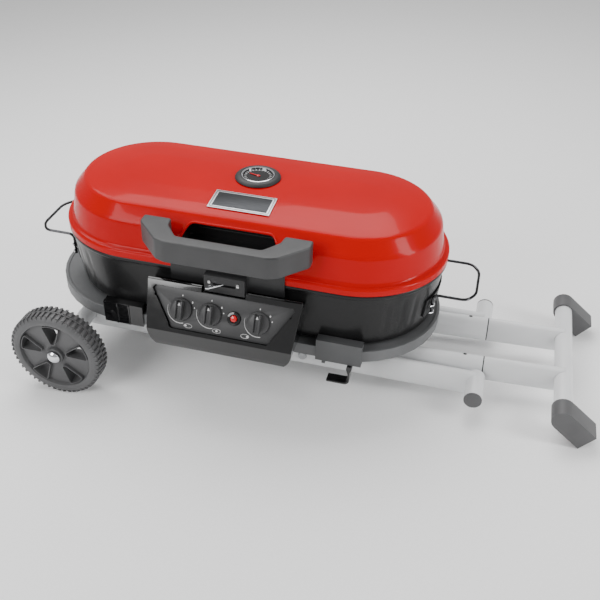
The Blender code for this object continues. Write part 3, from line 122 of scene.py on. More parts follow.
# ------------------------------------------------------------------ settings

def length(name, description, default, low, high):
    """A length setting whose default and limits are given in millimetres."""
    return FloatProperty(name=name, description=description, default=default * MM, min=low * MM,
                         max=high * MM, unit="LENGTH")


class GrillShellSettings(bpy.types.PropertyGroup):
    """Sizes of the enamelled lid and bowl."""
    end_steps: IntProperty(name="End Steps", description="Segments round each rounded end",
                           default=56, min=12, max=120)
    corner: length("Corner", "Rounding of the pressed corners", 5, 1, 12)
    rib_depth: length("Rib Depth", "Depth of the bowl's pressed flutes", 1.2, 0, 3)


class GrillWheelSettings(bpy.types.PropertyGroup):
    """Sizes of the moulded wheels."""
    radius: length("Radius", "Radius over the tread", 85, 60, 120)
    width: length("Width", "Width of the tyre", 40, 20, 60)
    lugs: IntProperty(name="Lugs", description="Tread lugs in each row", default=52, min=12, max=90)
    spokes: IntProperty(name="Spokes", description="Openings between the spokes", default=5, min=3, max=9)


class GrillEdgeSettings(bpy.types.PropertyGroup):
    """Edge rounding of the plainer pieces."""
    steel: length("Steel", "Rounding of bent and cut steel", 0.6, 0.1, 3)
    plastic: length("Plastic", "Rounding of moulded plastic", 1.6, 0.2, 6)
    handle: length("Handle", "Rounding of the lid handle", 6, 1, 9)


class GrillStageSettings(bpy.types.PropertyGroup):
    """Strengths of the studio lights."""
    key: FloatProperty(name="Key", description="Power of the large overhead light, in watts",
                       default=46.0, min=0, max=500)
    fill: FloatProperty(name="Fill", description="Power of the front light, in watts", default=34.0,
                        min=0, max=500)
    world: FloatProperty(name="World", description="Strength of the even light from all round", default=0.5,
                         min=0, max=5)


# ------------------------------------------------------------------ materials

def srgb(code):
    """Linear colour from six sRGB hex digits."""
    parts = [int(code[i:i + 2], 16) / 255 for i in (0, 2, 4)]
    return tuple(((c + 0.055) / 1.055) ** 2.4 if c > 0.04045 else c / 12.92 for c in parts) + (1.0,)


def add_node(tree, kind, inputs=None, **settings):
    """Add a node, set its properties, and fill or link its inputs by name or number."""
    node = tree.nodes.new(kind)
    for key, value in settings.items():
        setattr(node, key, value)
    for key, value in (inputs or {}).items():
        if isinstance(value, bpy.types.NodeSocket):
            tree.links.new(value, node.inputs[key])
        else:
            node.inputs[key].default_value = value
    return node


def new_material(name):
    mat = bpy.data.materials.new(name)
    mat.use_nodes = True
    mat.node_tree.nodes.clear()
    tree = mat.node_tree
    place = add_node(tree, "ShaderNodeTexCoord").outputs["Object"]
    return mat, tree, place


def noise(tree, place, size_mm, detail=3.0, roughness=0.5):
    return add_node(tree, "ShaderNodeTexNoise",
                    {"Vector": place, "Scale": 1000.0 / size_mm, "Detail": detail, "Roughness": roughness}
                    ).outputs["Fac"]


def spread(tree, value, low, high):
    """Map a noise, whose values mostly lie between 0.3 and 0.7, onto low..high."""
    return add_node(tree, "ShaderNodeMapRange",
                    {"Value": value, "From Min": 0.3, "From Max": 0.7, "To Min": low, "To Max": high}
                    ).outputs["Result"]


def mixed(tree, factor, first, second):
    node = add_node(tree, "ShaderNodeMix", data_type="RGBA")
    tree.links.new(factor, node.inputs[0])
    for socket, colour in ((node.inputs[6], first), (node.inputs[7], second)):
        if isinstance(colour, bpy.types.NodeSocket):
            tree.links.new(colour, socket)
        else:
            socket.default_value = colour
    return node.outputs[2]


def bump(tree, height, strength, distance_mm):
    return add_node(tree, "ShaderNodeBump",
                    {"Height": height, "Strength": strength, "Distance": distance_mm * MM}
                    ).outputs["Normal"]


def close_material(tree, inputs):
    shader = add_node(tree, "ShaderNodeBsdfPrincipled", inputs)
    add_node(tree, "ShaderNodeOutputMaterial", {"Surface": shader.outputs["BSDF"]})


def red_enamel():
    """Glossy porcelain enamel: deep red under a hard clear skin with a faint orange peel."""
    mat, tree, place = new_material("red_porcelain_enamel")
    peel = noise(tree, place, 9.0, 2.0)
    tone = mixed(tree, spread(tree, noise(tree, place, 160.0), 0, 1), srgb("B90006"), srgb("AF0005"))
    close_material(tree, {"Base Color": tone, "Roughness": spread(tree, peel, 0.2, 0.26),
                          "Specular IOR Level": 0.08, "Coat Weight": 0.12, "Coat Roughness": 0.03,
                          "Normal": bump(tree, peel, 0.05, 0.15)})
    return mat


def black_enamel():
    """Satin black porcelain enamel with a fine speckle fired into it."""
    mat, tree, place = new_material("black_porcelain_enamel")
    speck = noise(tree, place, 1.2, 4.0, 0.6)
    tone = mixed(tree, spread(tree, speck, 0, 1), srgb("131313"), srgb("1A1A1B"))
    close_material(tree, {"Base Color": tone, "Roughness": spread(tree, speck, 0.26, 0.34),
                          "Specular IOR Level": 0.25, "Coat Weight": 0.08, "Coat Roughness": 0.06,
                          "Normal": bump(tree, noise(tree, place, 7.0), 0.04, 0.2)})
    return mat


def powder_coat(name, light, dark, roughness):
    """Powder-coated steel: a fine pebble from the cured powder and slightly uneven gloss."""
    mat, tree, place = new_material(name)
    pebble = noise(tree, place, 1.6, 2.0)
    tone = mixed(tree, spread(tree, noise(tree, place, 60.0), 0, 1), srgb(light), srgb(dark))
    close_material(tree, {"Base Color": tone, "Roughness": spread(tree, pebble, roughness, roughness + 0.08),
                          "Coat Weight": 0.15, "Coat Roughness": 0.25,
                          "Normal": bump(tree, pebble, 0.12, 0.06)})
    return mat


def moulded_plastic(name, light, dark, roughness, grain_mm=0.9, grain=0.25):
    """Injection-moulded plastic with the spark-eroded grain of its mould."""
    mat, tree, place = new_material(name)
    texture = noise(tree, place, grain_mm, 3.0, 0.6)
    tone = mixed(tree, spread(tree, noise(tree, place, 35.0), 0, 1), srgb(light), srgb(dark))
    close_material(tree, {"Base Color": tone, "Roughness": spread(tree, texture, roughness, roughness + 0.1),
                          "Normal": bump(tree, texture, grain, 0.08)})
    return mat


def gloss_plastic(name, light, dark):
    """Polished moulding: even colour, bright skin, the slightest waviness."""
    mat, tree, place = new_material(name)
    wave = noise(tree, place, 14.0, 2.0)
    tone = mixed(tree, spread(tree, wave, 0, 1), srgb(light), srgb(dark))
    close_material(tree, {"Base Color": tone, "Roughness": spread(tree, wave, 0.1, 0.15),
                          "Coat Weight": 0.45, "Coat Roughness": 0.04,
                          "Normal": bump(tree, wave, 0.04, 0.2)})
    return mat


def plated(name, light, dark, roughness, stretch=(1.0, 1.0, 1.0), depth=0.02):
    """Bare or plated metal; a stretched noise gives the direction it was drawn or brushed in."""
    mat, tree, place = new_material(name)
    along = add_node(tree, "ShaderNodeMapping", {"Vector": place, "Scale": stretch}).outputs["Vector"]
    lines = noise(tree, along, 1.5, 4.0, 0.6)
    tone = mixed(tree, spread(tree, lines, 0, 1), srgb(light), srgb(dark))
    close_material(tree, {"Base Color": tone, "Metallic": 1.0,
                          "Roughness": spread(tree, lines, roughness, roughness + 0.08),
                          "Normal": bump(tree, lines, depth, 0.05)})
    return mat


def cast_iron():
    """Seasoned cast iron: a coarse sand-cast skin, almost black."""
    mat, tree, place = new_material("seasoned_cast_iron")
    sand = noise(tree, place, 2.2, 5.0, 0.65)
    tone = mixed(tree, spread(tree, sand, 0, 1), srgb("141414"), srgb("262523"))
    close_material(tree, {"Base Color": tone, "Roughness": spread(tree, sand, 0.5, 0.7),
                          "Metallic": 0.2, "Normal": bump(tree, sand, 0.4, 0.3)})
    return mat


def printed_white():
    """Pad-printed white ink, slightly thin in places."""
    mat, tree, place = new_material("white_pad_print")
    thin = noise(tree, place, 0.8)
    tone = mixed(tree, spread(tree, thin, 0, 1), srgb("E8E8E8"), srgb("CFCFCF"))
    close_material(tree, {"Base Color": tone, "Roughness": 0.5})
    return mat


def studio_floor():
    """Seamless white studio paper with a barely visible tooth."""
    mat, tree, place = new_material("white_studio_paper")
    tooth = noise(tree, place, 4.0)
    tone = mixed(tree, spread(tree, tooth, 0, 1), srgb("FAFAFA"), srgb("F6F6F6"))
    close_material(tree, {"Base Color": tone, "Roughness": 0.85, "Normal": bump(tree, tooth, 0.02, 0.1)})
    return mat


MATS = {}


def make_materials():
    """One material for each finish on the real grill, kept by the name the pieces use."""
    MATS.update({
        "red_enamel": red_enamel(),
        "black_enamel": black_enamel(),
        "grey_paint": powder_coat("light_grey_powder_coat", "DCDDDE", "D6D7D8", 0.34),
        "dark_steel": powder_coat("dark_grey_powder_coat", "4A4B4C", "424344", 0.42),
        "grey_plastic": moulded_plastic("grey_polypropylene", "575758", "4F4F50", 0.44),
        "table_plastic": moulded_plastic("grey_table_polypropylene", "636465", "5B5C5D", 0.42),
        "satin_plastic": moulded_plastic("dark_grey_grained_nylon", "39393A", "323233", 0.4),
        "matte_black": moulded_plastic("matte_black_nylon", "1A1A1B", "202021", 0.45),
        "black_plastic": gloss_plastic("black_polished_phenolic", "0B0B0C", "0F0F10"),
        "red_plastic": gloss_plastic("red_polished_plastic", "D8141C", "C81018"),
        "chrome": plated("bright_chrome_plate", "E6E7EA", "D8D9DC", 0.06),
        # Painted reflection: the loops' chrome gets a dark base colour in place of the dark surroundings that
        # real chrome reflects.
        "painted_dark_chrome": plated("black_chrome_plate", "4A4A4C", "3C3C3E", 0.1),
        "steel": plated("brushed_stainless_steel", "B9BABC", "A4A5A8", 0.26, (0.08, 1.0, 1.0), 0.1),
        "badge_field": plated("dark_brushed_badge_field", "3F4042", "343537", 0.34, (0.06, 1.0, 1.0), 0.12),
        "badge_metal": plated("brushed_aluminium_badge", "C9CACC", "B2B3B6", 0.3, (0.06, 1.0, 1.0), 0.12),
        "brass": plated("machined_brass", "C9A75C", "B08F48", 0.24, (1.0, 0.1, 1.0), 0.08),
        "cast_iron": cast_iron(),
        "white_print": printed_white(),
        "floor": studio_floor(),
    })


# ------------------------------------------------------------------ mesh makers

def mesh_from(bm, name="piece"):
    mesh = bpy.data.meshes.new(name)
    bm.to_mesh(mesh)
    bm.free()
    return mesh


def linked(name, data):
    """A new object in the scene."""
    obj = bpy.data.objects.new(name, data)
    bpy.context.scene.collection.objects.link(obj)
    return obj


def put(name, mesh, mat, body, sharp=35, replaces=()):
    """Show a mesh given in the grill's frame as a named piece that rides on a body."""
    mesh.name = name
    mesh.transform(GRILL)
    return put_world(name, mesh, mat, body, sharp, replaces)


def put_world(name, mesh, mat, body, sharp=35, replaces=()):
    obj = linked(name, mesh)
    mesh.materials.clear()
    mesh.materials.append(MATS[mat])
    mesh.shade_smooth()
    mesh.set_sharp_from_angle(angle=radians(sharp))
    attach(obj, body)
    if replaces:
        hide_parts(*replaces)
    return obj


def apply_modifiers(mesh, modifiers):
    """Run a list of (type, settings) modifiers over a mesh and return the result."""
    obj = linked("working", mesh)
    for kind, settings in modifiers:
        mod = obj.modifiers.new(kind.title(), kind)
        for key, value in settings.items():
            setattr(mod, key, value)
    depsgraph = bpy.context.evaluated_depsgraph_get()
    result = bpy.data.meshes.new_from_object(obj.evaluated_get(depsgraph))
    bpy.data.objects.remove(obj, do_unlink=True)
    return result


def cut(mesh, tools, operation="DIFFERENCE"):
    """Cut a mesh with, or join it to, each tool mesh in turn."""
    helpers = []
    modifiers = []
    for tool in tools:
        helper = linked("tool", tool)
        helpers.append(helper)
        modifiers.append(("BOOLEAN", {"object": helper, "operation": operation, "solver": "EXACT"}))
    result = apply_modifiers(mesh, modifiers)
    for helper in helpers:
        bpy.data.objects.remove(helper, do_unlink=True)
    return result


def rounded_edges(mesh, width, segments=3, angle=35):
    return apply_modifiers(mesh, [("BEVEL", {"width": width, "segments": segments, "profile": 0.6,
                                             "limit_method": "ANGLE", "angle_limit": radians(angle)})])


def box_mesh(low, high):
    low, high = Vector(low), Vector(high)
    bm = bmesh.new()
    size = Matrix.Diagonal((*(high - low), 1.0))
    bmesh.ops.create_cube(bm, size=1.0, matrix=Matrix.Translation((low + high) / 2) @ size)
    return mesh_from(bm)


def rod_mesh(start, end, radius, sides=32):
    start, end = Vector(start), Vector(end)
    turn = (end - start).to_track_quat("Z", "Y").to_matrix().to_4x4()
    bm = bmesh.new()
    bmesh.ops.create_cone(bm, cap_ends=True, segments=sides, radius1=radius, radius2=radius,
                          depth=(end - start).length, matrix=Matrix.Translation((start + end) / 2) @ turn)
    return mesh_from(bm)


def arc(centre, radius, start, end, steps):
    return [(centre[0] + radius * cos(start + (end - start) * i / steps),
             centre[1] + radius * sin(start + (end - start) * i / steps)) for i in range(steps + 1)]


def rectangle(low_u, low_v, high_u, high_v):
    return [(low_u, low_v), (high_u, low_v), (high_u, high_v), (low_u, high_v)]


def prism(outline, low, high, matrix=Matrix.Identity(4)):
    """A flat outline raised between two heights, then placed by a matrix."""
    bm = bmesh.new()
    base = [bm.verts.new((u, v, low)) for u, v in outline]
    top = [bm.verts.new((u, v, high)) for u, v in outline]
    bm.faces.new(base)
    bm.faces.new(top)
    bridge_rings(bm, base, top)
    bmesh.ops.recalc_face_normals(bm, faces=bm.faces)
    bm.transform(matrix)
    return mesh_from(bm)


def bridge_rings(bm, first, second):
    """Faces between two closed rings of vertices, either of which may be a single point."""
    steps = max(len(first), len(second))
    for i in range(steps):
        j = (i + 1) % steps
        corners = (first[i % len(first)], second[i % len(second)],
                   second[j % len(second)], first[j % len(first)])
        bm.faces.new(dict.fromkeys(corners))


def lathe(profile, place, direction, steps=64):
    """A (radius, height) profile turned about an axis through `place`."""
    bm = bmesh.new()
    rings = []
    for radius, height in profile:
        angles = [2 * pi * i / steps for i in range(steps)] if radius > 0 else [0.0]
        rings.append([bm.verts.new((radius * cos(a), radius * sin(a), height)) for a in angles])
    if profile[0][0] > 0 and profile[-1][0] > 0:
        rings.append(rings[0])
    for first, second in zip(rings, rings[1:]):
        bridge_rings(bm, first, second)
    bmesh.ops.recalc_face_normals(bm, faces=bm.faces)
    bm.transform(Matrix.Translation(place) @ facing(direction))
    return mesh_from(bm)


def join(meshes, name="joined"):
    """Several separate closed skins kept together as one mesh."""
    bm = bmesh.new()
    for mesh in meshes:
        bm.from_mesh(mesh)
    return mesh_from(bm, name)


def soften_corners(points, radius, steps=4, closed=False):
    """Replace the corners of a 2D or 3D path by smooth bends."""
    points = [Vector(p) for p in points]
    count = len(points)
    result = []
    for index, corner in enumerate(points):
        if not closed and index in (0, count - 1):
            result.append(corner)
            continue
        before = points[index - 1] - corner
        after = points[(index + 1) % count] - corner
        reach = min(radius, before.length * 0.48, after.length * 0.48)
        start, end = corner + before.normalized() * reach, corner + after.normalized() * reach
        for i in range(steps + 1):
            t = i / steps
            result.append(start * (1 - t) ** 2 + corner * (2 * t * (1 - t)) + end * t ** 2)
    return result


def wire(points, radius, closed=False, resolution=5):
    """A round bar bent along a path."""
    curve = bpy.data.curves.new("wire", "CURVE")
    curve.dimensions = "3D"
    curve.bevel_depth = radius
    curve.bevel_resolution = resolution
    curve.use_fill_caps = True
    spline = curve.splines.new("POLY")
    spline.points.add(len(points) - 1)
    for point, place in zip(spline.points, points):
        point.co = (*place, 1)
    spline.use_cyclic_u = closed
    obj = linked("wire", curve)
    mesh = bpy.data.meshes.new_from_object(obj.evaluated_get(bpy.context.evaluated_depsgraph_get()))
    bpy.data.objects.remove(obj, do_unlink=True)
    bpy.data.curves.remove(curve)
    bm = bmesh.new()
    bm.from_mesh(mesh)
    bmesh.ops.remove_doubles(bm, verts=bm.verts, dist=1e-6)
    return mesh_from(bm)


def oval_stations(half_straight, end_steps, side_steps=20):
    """Centres and directions once round a long oval, starting at the right end's front corner."""
    stations = []
    for centre_x, start in ((half_straight, -pi / 2), (-half_straight, pi / 2)):
        for i in range(end_steps):
            angle = start + pi * i / end_steps
            stations.append((Vector((centre_x, 0, 0)), Vector((cos(angle), sin(angle), 0))))
        for i in range(side_steps):
            t = i / side_steps
            side = Vector((0, sin(start + pi), 0))
            stations.append((Vector((centre_x * (1 - 2 * t), 0, 0)), side))
    return stations


def oval_shell(profile, half_straight, wall, end_steps, outward, shift=None):
    """A pressed shell: a profile carried round a long oval and given its wall thickness."""
    stations = oval_stations(half_straight, end_steps)
    bm = bmesh.new()
    rings = []
    for centre, direction in stations:
        ring = []
        for r, z in profile:
            reach = r + (shift(centre, direction, z) if shift and r > 0.1 else 0.0)
            ring.append(bm.verts.new(centre + direction * reach + Vector((0, 0, z))))
        rings.append(ring)
    for first, second in zip(rings, rings[1:] + rings[:1]):
        for i in range(len(profile) - 1):
            bm.faces.new((first[i], second[i], second[i + 1], first[i + 1]))
    bmesh.ops.remove_doubles(bm, verts=bm.verts, dist=1e-6)
    bmesh.ops.dissolve_degenerate(bm, edges=bm.edges, dist=1e-6)
    middle_edges = [e for e in bm.edges if e.is_boundary
                    and max(abs(v.co.y) for v in e.verts) < 1e-5]
    bmesh.ops.holes_fill(bm, edges=middle_edges, sides=0)
    bmesh.ops.recalc_face_normals(bm, faces=bm.faces)
    middle = max(bm.faces, key=lambda face: abs(face.normal.z) - face.calc_center_median().to_2d().length)
    if middle.normal.z * outward < 0:
        bmesh.ops.reverse_faces(bm, faces=bm.faces)
    return apply_modifiers(mesh_from(bm), [("SOLIDIFY", {"thickness": wall, "offset": -1.0,
                                                         "use_even_offset": True})])


def softened(node, mat, width, segments=2, name=None, angle=35):
    """A finished skin for a simple piece: the node's own outline with its edges rounded."""
    bm = bmesh.new()
    bm.from_mesh(NODES[node].data)
    bmesh.ops.remove_doubles(bm, verts=bm.verts, dist=3e-6)
    bmesh.ops.dissolve_limit(bm, angle_limit=radians(0.6), verts=bm.verts, edges=bm.edges)
    mesh = rounded_edges(mesh_from(bm), width, segments, angle)
    return put_world(name or node + "_finish", mesh, mat, BODY_OF[node], 38, (node,))


def panel_point(x, slope, out=0.0):
    return PANEL_TOP + Vector((x, 0, 0)) + PANEL_DOWN * slope + PANEL_OUT * out


def panel_matrix(x, slope, out=0.0, turn=0.0):
    """Puts (u, v) of a print or a part flat on the panel, with v up its slope."""
    basis = Matrix((Vector((1, 0, 0)), -PANEL_DOWN, PANEL_OUT)).transposed().to_4x4()
    return Matrix.Translation(panel_point(x, slope, out)) @ basis @ Matrix.Rotation(turn, 4, "Z")


# ------------------------------------------------------------------ geometry nodes

def pieces_tree(name, **inputs):
    """A tree that takes a piece, the named inputs and a material."""
    tree = bpy.data.node_groups.new(name, "GeometryNodeTree")
    for key, kind in {"Geometry": "Geometry", **inputs, "Material": "Material"}.items():
        tree.interface.new_socket(key, in_out="INPUT", socket_type="NodeSocket" + kind)
    tree.interface.new_socket("Geometry", in_out="OUTPUT", socket_type="NodeSocketGeometry")
    return tree, add_node(tree, "NodeGroupInput").outputs


def copy_to_points(tree, given, points, **turn):
    """Set the piece on every point, make the copies real, and give them their material."""
    copies = add_node(tree, "GeometryNodeInstanceOnPoints",
                      {"Points": points, "Instance": given["Geometry"], **turn})
    real = add_node(tree, "GeometryNodeRealizeInstances", {0: copies.outputs[0]})
    painted = add_node(tree, "GeometryNodeSetMaterial", {0: real.outputs[0], "Material": given["Material"]})
    add_node(tree, "NodeGroupOutput", {0: painted.outputs[0]})
    return tree


def ring_tree():
    """Copies of the input piece set round the Z axis, facing outward."""
    tree, given = pieces_tree("ring_of_pieces", Count="Int", Radius="Float", Start="Float")
    index = add_node(tree, "GeometryNodeInputIndex").outputs[0]
    share = add_node(tree, "ShaderNodeMath", {0: index, 1: given["Count"]}, operation="DIVIDE")
    angle = add_node(tree, "ShaderNodeMath", {0: share.outputs[0], 1: 2 * pi, 2: given["Start"]},
                     operation="MULTIPLY_ADD").outputs[0]
    turn = add_node(tree, "ShaderNodeCombineXYZ", {2: angle}).outputs[0]
    arm = add_node(tree, "ShaderNodeCombineXYZ", {0: given["Radius"]}).outputs[0]
    place = add_node(tree, "ShaderNodeVectorRotate", {"Vector": arm, "Angle": angle},
                     rotation_type="Z_AXIS").outputs[0]
    points = add_node(tree, "GeometryNodePoints", {"Count": given["Count"], "Position": place})
    return copy_to_points(tree, given, points.outputs[0], Rotation=turn)


def row_tree():
    """Copies of the input piece at even steps along a straight line."""
    tree, given = pieces_tree("row_of_pieces", Count="Int", Start="Vector", Step="Vector")
    line = add_node(tree, "GeometryNodeMeshLine",
                    {"Count": given["Count"], "Start Location": given["Start"], "Offset": given["Step"]},
                    mode="OFFSET")
    return copy_to_points(tree, given, line.outputs[0])


def spread_by_nodes(tree, mesh, values):
    """Run a geometry node tree over a mesh with its named inputs, and return the plain mesh."""
    obj = linked("spread", mesh)
    mod = obj.modifiers.new("Spread", "NODES")
    mod.node_group = tree
    keys = {item.name: item.identifier for item in tree.interface.items_tree
            if item.in_out == "INPUT" and item.socket_type != "NodeSocketGeometry"}
    for name, value in values.items():
        mod[keys[name]] = value
    depsgraph = bpy.context.evaluated_depsgraph_get()
    result = bpy.data.meshes.new_from_object(obj.evaluated_get(depsgraph))
    bpy.data.objects.remove(obj, do_unlink=True)
    return result


TREES = {}


def ring(mesh, count, radius, start, mat):
    values = {"Count": count, "Radius": radius, "Start": start, "Material": MATS[mat]}
    return spread_by_nodes(TREES["ring"], mesh, values)


def row(mesh, count, start, step, mat):
    values = {"Count": count, "Start": tuple(start), "Step": tuple(step), "Material": MATS[mat]}
    return spread_by_nodes(TREES["row"], mesh, values)


def screw_mesh(radius=3.2 * MM, tall=1.6 * MM):
    """A pan-head screw with a cross recess, standing on the XY plane."""
    head = lathe([(0, tall), (radius * 0.6, tall * 0.9), (radius, tall * 0.45), (radius, 0), (0, 0)],
                 (0, 0, 0), (0, 0, 1), 20)
    slots = [box_mesh((-radius * 0.6, -radius * 0.13, tall * 0.45), (radius * 0.6, radius * 0.13, tall * 2)),
             box_mesh((-radius * 0.13, -radius * 0.6, tall * 0.45), (radius * 0.13, radius * 0.6, tall * 2))]
    return cut(head, slots)


def facing(direction):
    return Vector(direction).to_track_quat("Z", "Y").to_matrix().to_4x4()


def turned_mesh(mesh, matrix):
    mesh.transform(matrix)
    return mesh


# ------------------------------------------------------------------ lid and bowl

def lid_radius(z):
    """The lid's outer radius at a height on its side."""
    for (r0, z0), (r1, z1) in zip(LID_PROFILE, LID_PROFILE[1:]):
        if z1 <= z / MM <= z0:
            share = (z0 - z / MM) / (z0 - z1) if z0 > z1 else 0.0
            return (r0 + (r1 - r0) * share) * MM
    return RIM_R


def bowl_radius(z):
    return (153.5 - 11.3 * (-z / MM - 10) / 94) * MM


def mm_profile(points, corner, steps=5):
    """A profile in millimetres with its corners softened, in metres."""
    return [tuple(p) for p in soften_corners(scaled(points), corner, steps)]


def build_lid(settings):
    profile = mm_profile(LID_PROFILE, settings.corner)
    lid = oval_shell(profile, HALF_STRAIGHT, 1.2 * MM, settings.end_steps, 1)
    mouth = cup_mouth(0.6 * MM)
    hole = prism(mouth, 90 * MM, RIM_R + 20 * MM, Matrix.Rotation(pi / 2, 4, "X"))
    lid = cut(lid, [hole])
    put("lid_enamel_shell", lid, "red_enamel", "lid", 22, ("lid_shell",))
    lip = [Vector((x, -lid_radius(z) - 0.2 * MM, z)) for x, z in even_points(cup_mouth(0.0), 4 * MM)]
    put("lid_mouth_lip", wire(lip, 2.2 * MM, True), "red_enamel", "lid")


def cup_mouth(grow):
    """The outline (x, z) of the opening that the handle's cup sits in."""
    half, low, high = CUP_HALF_W - 1 * MM + grow, CUP_LOW_Z + 2 * MM - grow, CUP_HIGH_Z - 1 * MM + grow
    top = CUP_TOP_HALF_W - 2 * MM + grow
    return [tuple(p) for p in soften_corners([(-half, low), (half, low), (half, low + 12 * MM), (top, high),
                                              (-top, high), (-half, low + 12 * MM)], 10 * MM, 5, True)]


def even_points(outline, pitch):
    """Points no further apart than a pitch round a closed outline."""
    points = []
    for (u0, v0), (u1, v1) in zip(outline, outline[1:] + outline[:1]):
        steps = max(1, int(hypot(u1 - u0, v1 - v0) / pitch))
        points += [(u0 + (u1 - u0) * i / steps, v0 + (v1 - v0) * i / steps) for i in range(steps)]
    return points


def build_bowl(settings):
    profile = mm_profile(BOWL_PROFILE, settings.corner * 0.6, 4)
    fine = []
    for (r0, z0), (r1, z1) in zip(profile, profile[1:]):
        steps = max(1, int(abs(z1 - z0) / (8 * MM)))
        fine += [(r0 + (r1 - r0) * i / steps, z0 + (z1 - z0) * i / steps) for i in range(steps)]
    fine.append(profile[-1])

    def rib(centre, direction, z):
        """Narrow upright flutes pressed into each rounded end."""
        if direction.y == 0 or abs(centre.x) < HALF_STRAIGHT - MM or not -95 * MM < z < -22 * MM:
            return 0.0
        angle = degrees(atan2(direction.y, abs(direction.x)))
        return -settings.rib_depth if any(abs(abs(angle) - a) < 1.7 for a in FLUTE_ANGLES) else 0.0

    bowl = oval_shell(fine, HALF_STRAIGHT, 1.4 * MM, settings.end_steps * 2, -1, rib)
    holes = [rod_mesh((x, -RIM_R - 5 * MM, BURNER_Z), (x, -120 * MM, BURNER_Z), 9.5 * MM)
             for x in KNOB_X.values()]
    put("bowl_enamel_shell", cut(bowl, holes), "black_enamel", "grill", 30, ("bowl",))
    for node in ("bowl_hinge_left", "bowl_hinge_right", "lid_hinge_left", "lid_hinge_right"):
        softened(node, "dark_steel", 0.5 * MM)
    for name, side in (("left", -1), ("right", 1)):
        start = (side * HINGE_X - SCREW_PITCH / 2, 0, 0)
        screws = row(screw_mesh(), 2, start, (SCREW_PITCH, 0, 0), "steel")
        turn = Matrix.Translation(mm(0, 161.6, 27)) @ Matrix.Rotation(-pi / 2, 4, "X")
        put("lid_hinge_screws_" + name, turned_mesh(screws, turn), "steel", "lid")


# ------------------------------------------------------------------ handle and lid trim

def build_handle(settings):
    front, depth = -220 * MM, 22 * MM
    back = front + depth
    seat = -150 * MM
    right = [(84, front / MM), (100, -214), (141, -170), (141, seat / MM)]
    inner = [(95, seat / MM), (92, -170), (70, back / MM)]
    half = [(x * MM, y * MM) for x, y in right + inner]
    outline = half + [(-x, y) for x, y in reversed(half)]
    outline = [tuple(p) for p in soften_corners(outline, 4 * MM, 3, True)]
    low, high = 48.5 * MM, 87.8 * MM
    bow = rounded_edges(prism(outline, low, high), settings.handle, 5, 50)
    put("lid_handle_bow", bow, "satin_plastic", "lid", 40, ("lid_handle",))
    put("handle_cup_liner", cup_liner(), "matte_black", "lid", 35, ("handle_recess",))
    ridge = wire([mm(-68, -102.5, 50), mm(68, -102.5, 50)], 1.6 * MM)
    put("cup_ridge", ridge, "matte_black", "lid")
    tabs = [rounded_edges(box_mesh((x - 4 * MM, -127 * MM, 71.5 * MM), (x + 4 * MM, -122 * MM, 76 * MM)), MM)
            for x in mm(-52, -34, 36, 54)]
    put("cup_tabs", join(tabs), "red_enamel", "lid")


def cup_liner():
    """A moulded cup lofted from the lid's opening back to a slightly smaller rear wall."""
    mouth = even_points(cup_mouth(-0.2 * MM), 8 * MM)
    centre_z = (CUP_LOW_Z + CUP_HIGH_Z) / 2
    rings = []
    bm = bmesh.new()
    for depth, shrink in ((0.0, 1.0), (0.35, 0.985), (0.75, 0.965), (0.93, 0.95), (1.0, 0.9)):
        verts = []
        for x, z in mouth:
            front_y = -lid_radius(z) + 0.6 * MM
            y = front_y + (CUP_BACK_Y - front_y) * depth
            verts.append(bm.verts.new((x * shrink, y, centre_z + (z - centre_z) * shrink)))
        rings.append(verts)
    for first, second in zip(rings, rings[1:]):
        bridge_rings(bm, first, second)
    bm.faces.new(rings[-1])
    bmesh.ops.recalc_face_normals(bm, faces=bm.faces)
    return apply_modifiers(mesh_from(bm), [("SOLIDIFY", {"thickness": 1.2 * MM, "offset": 0.0})])


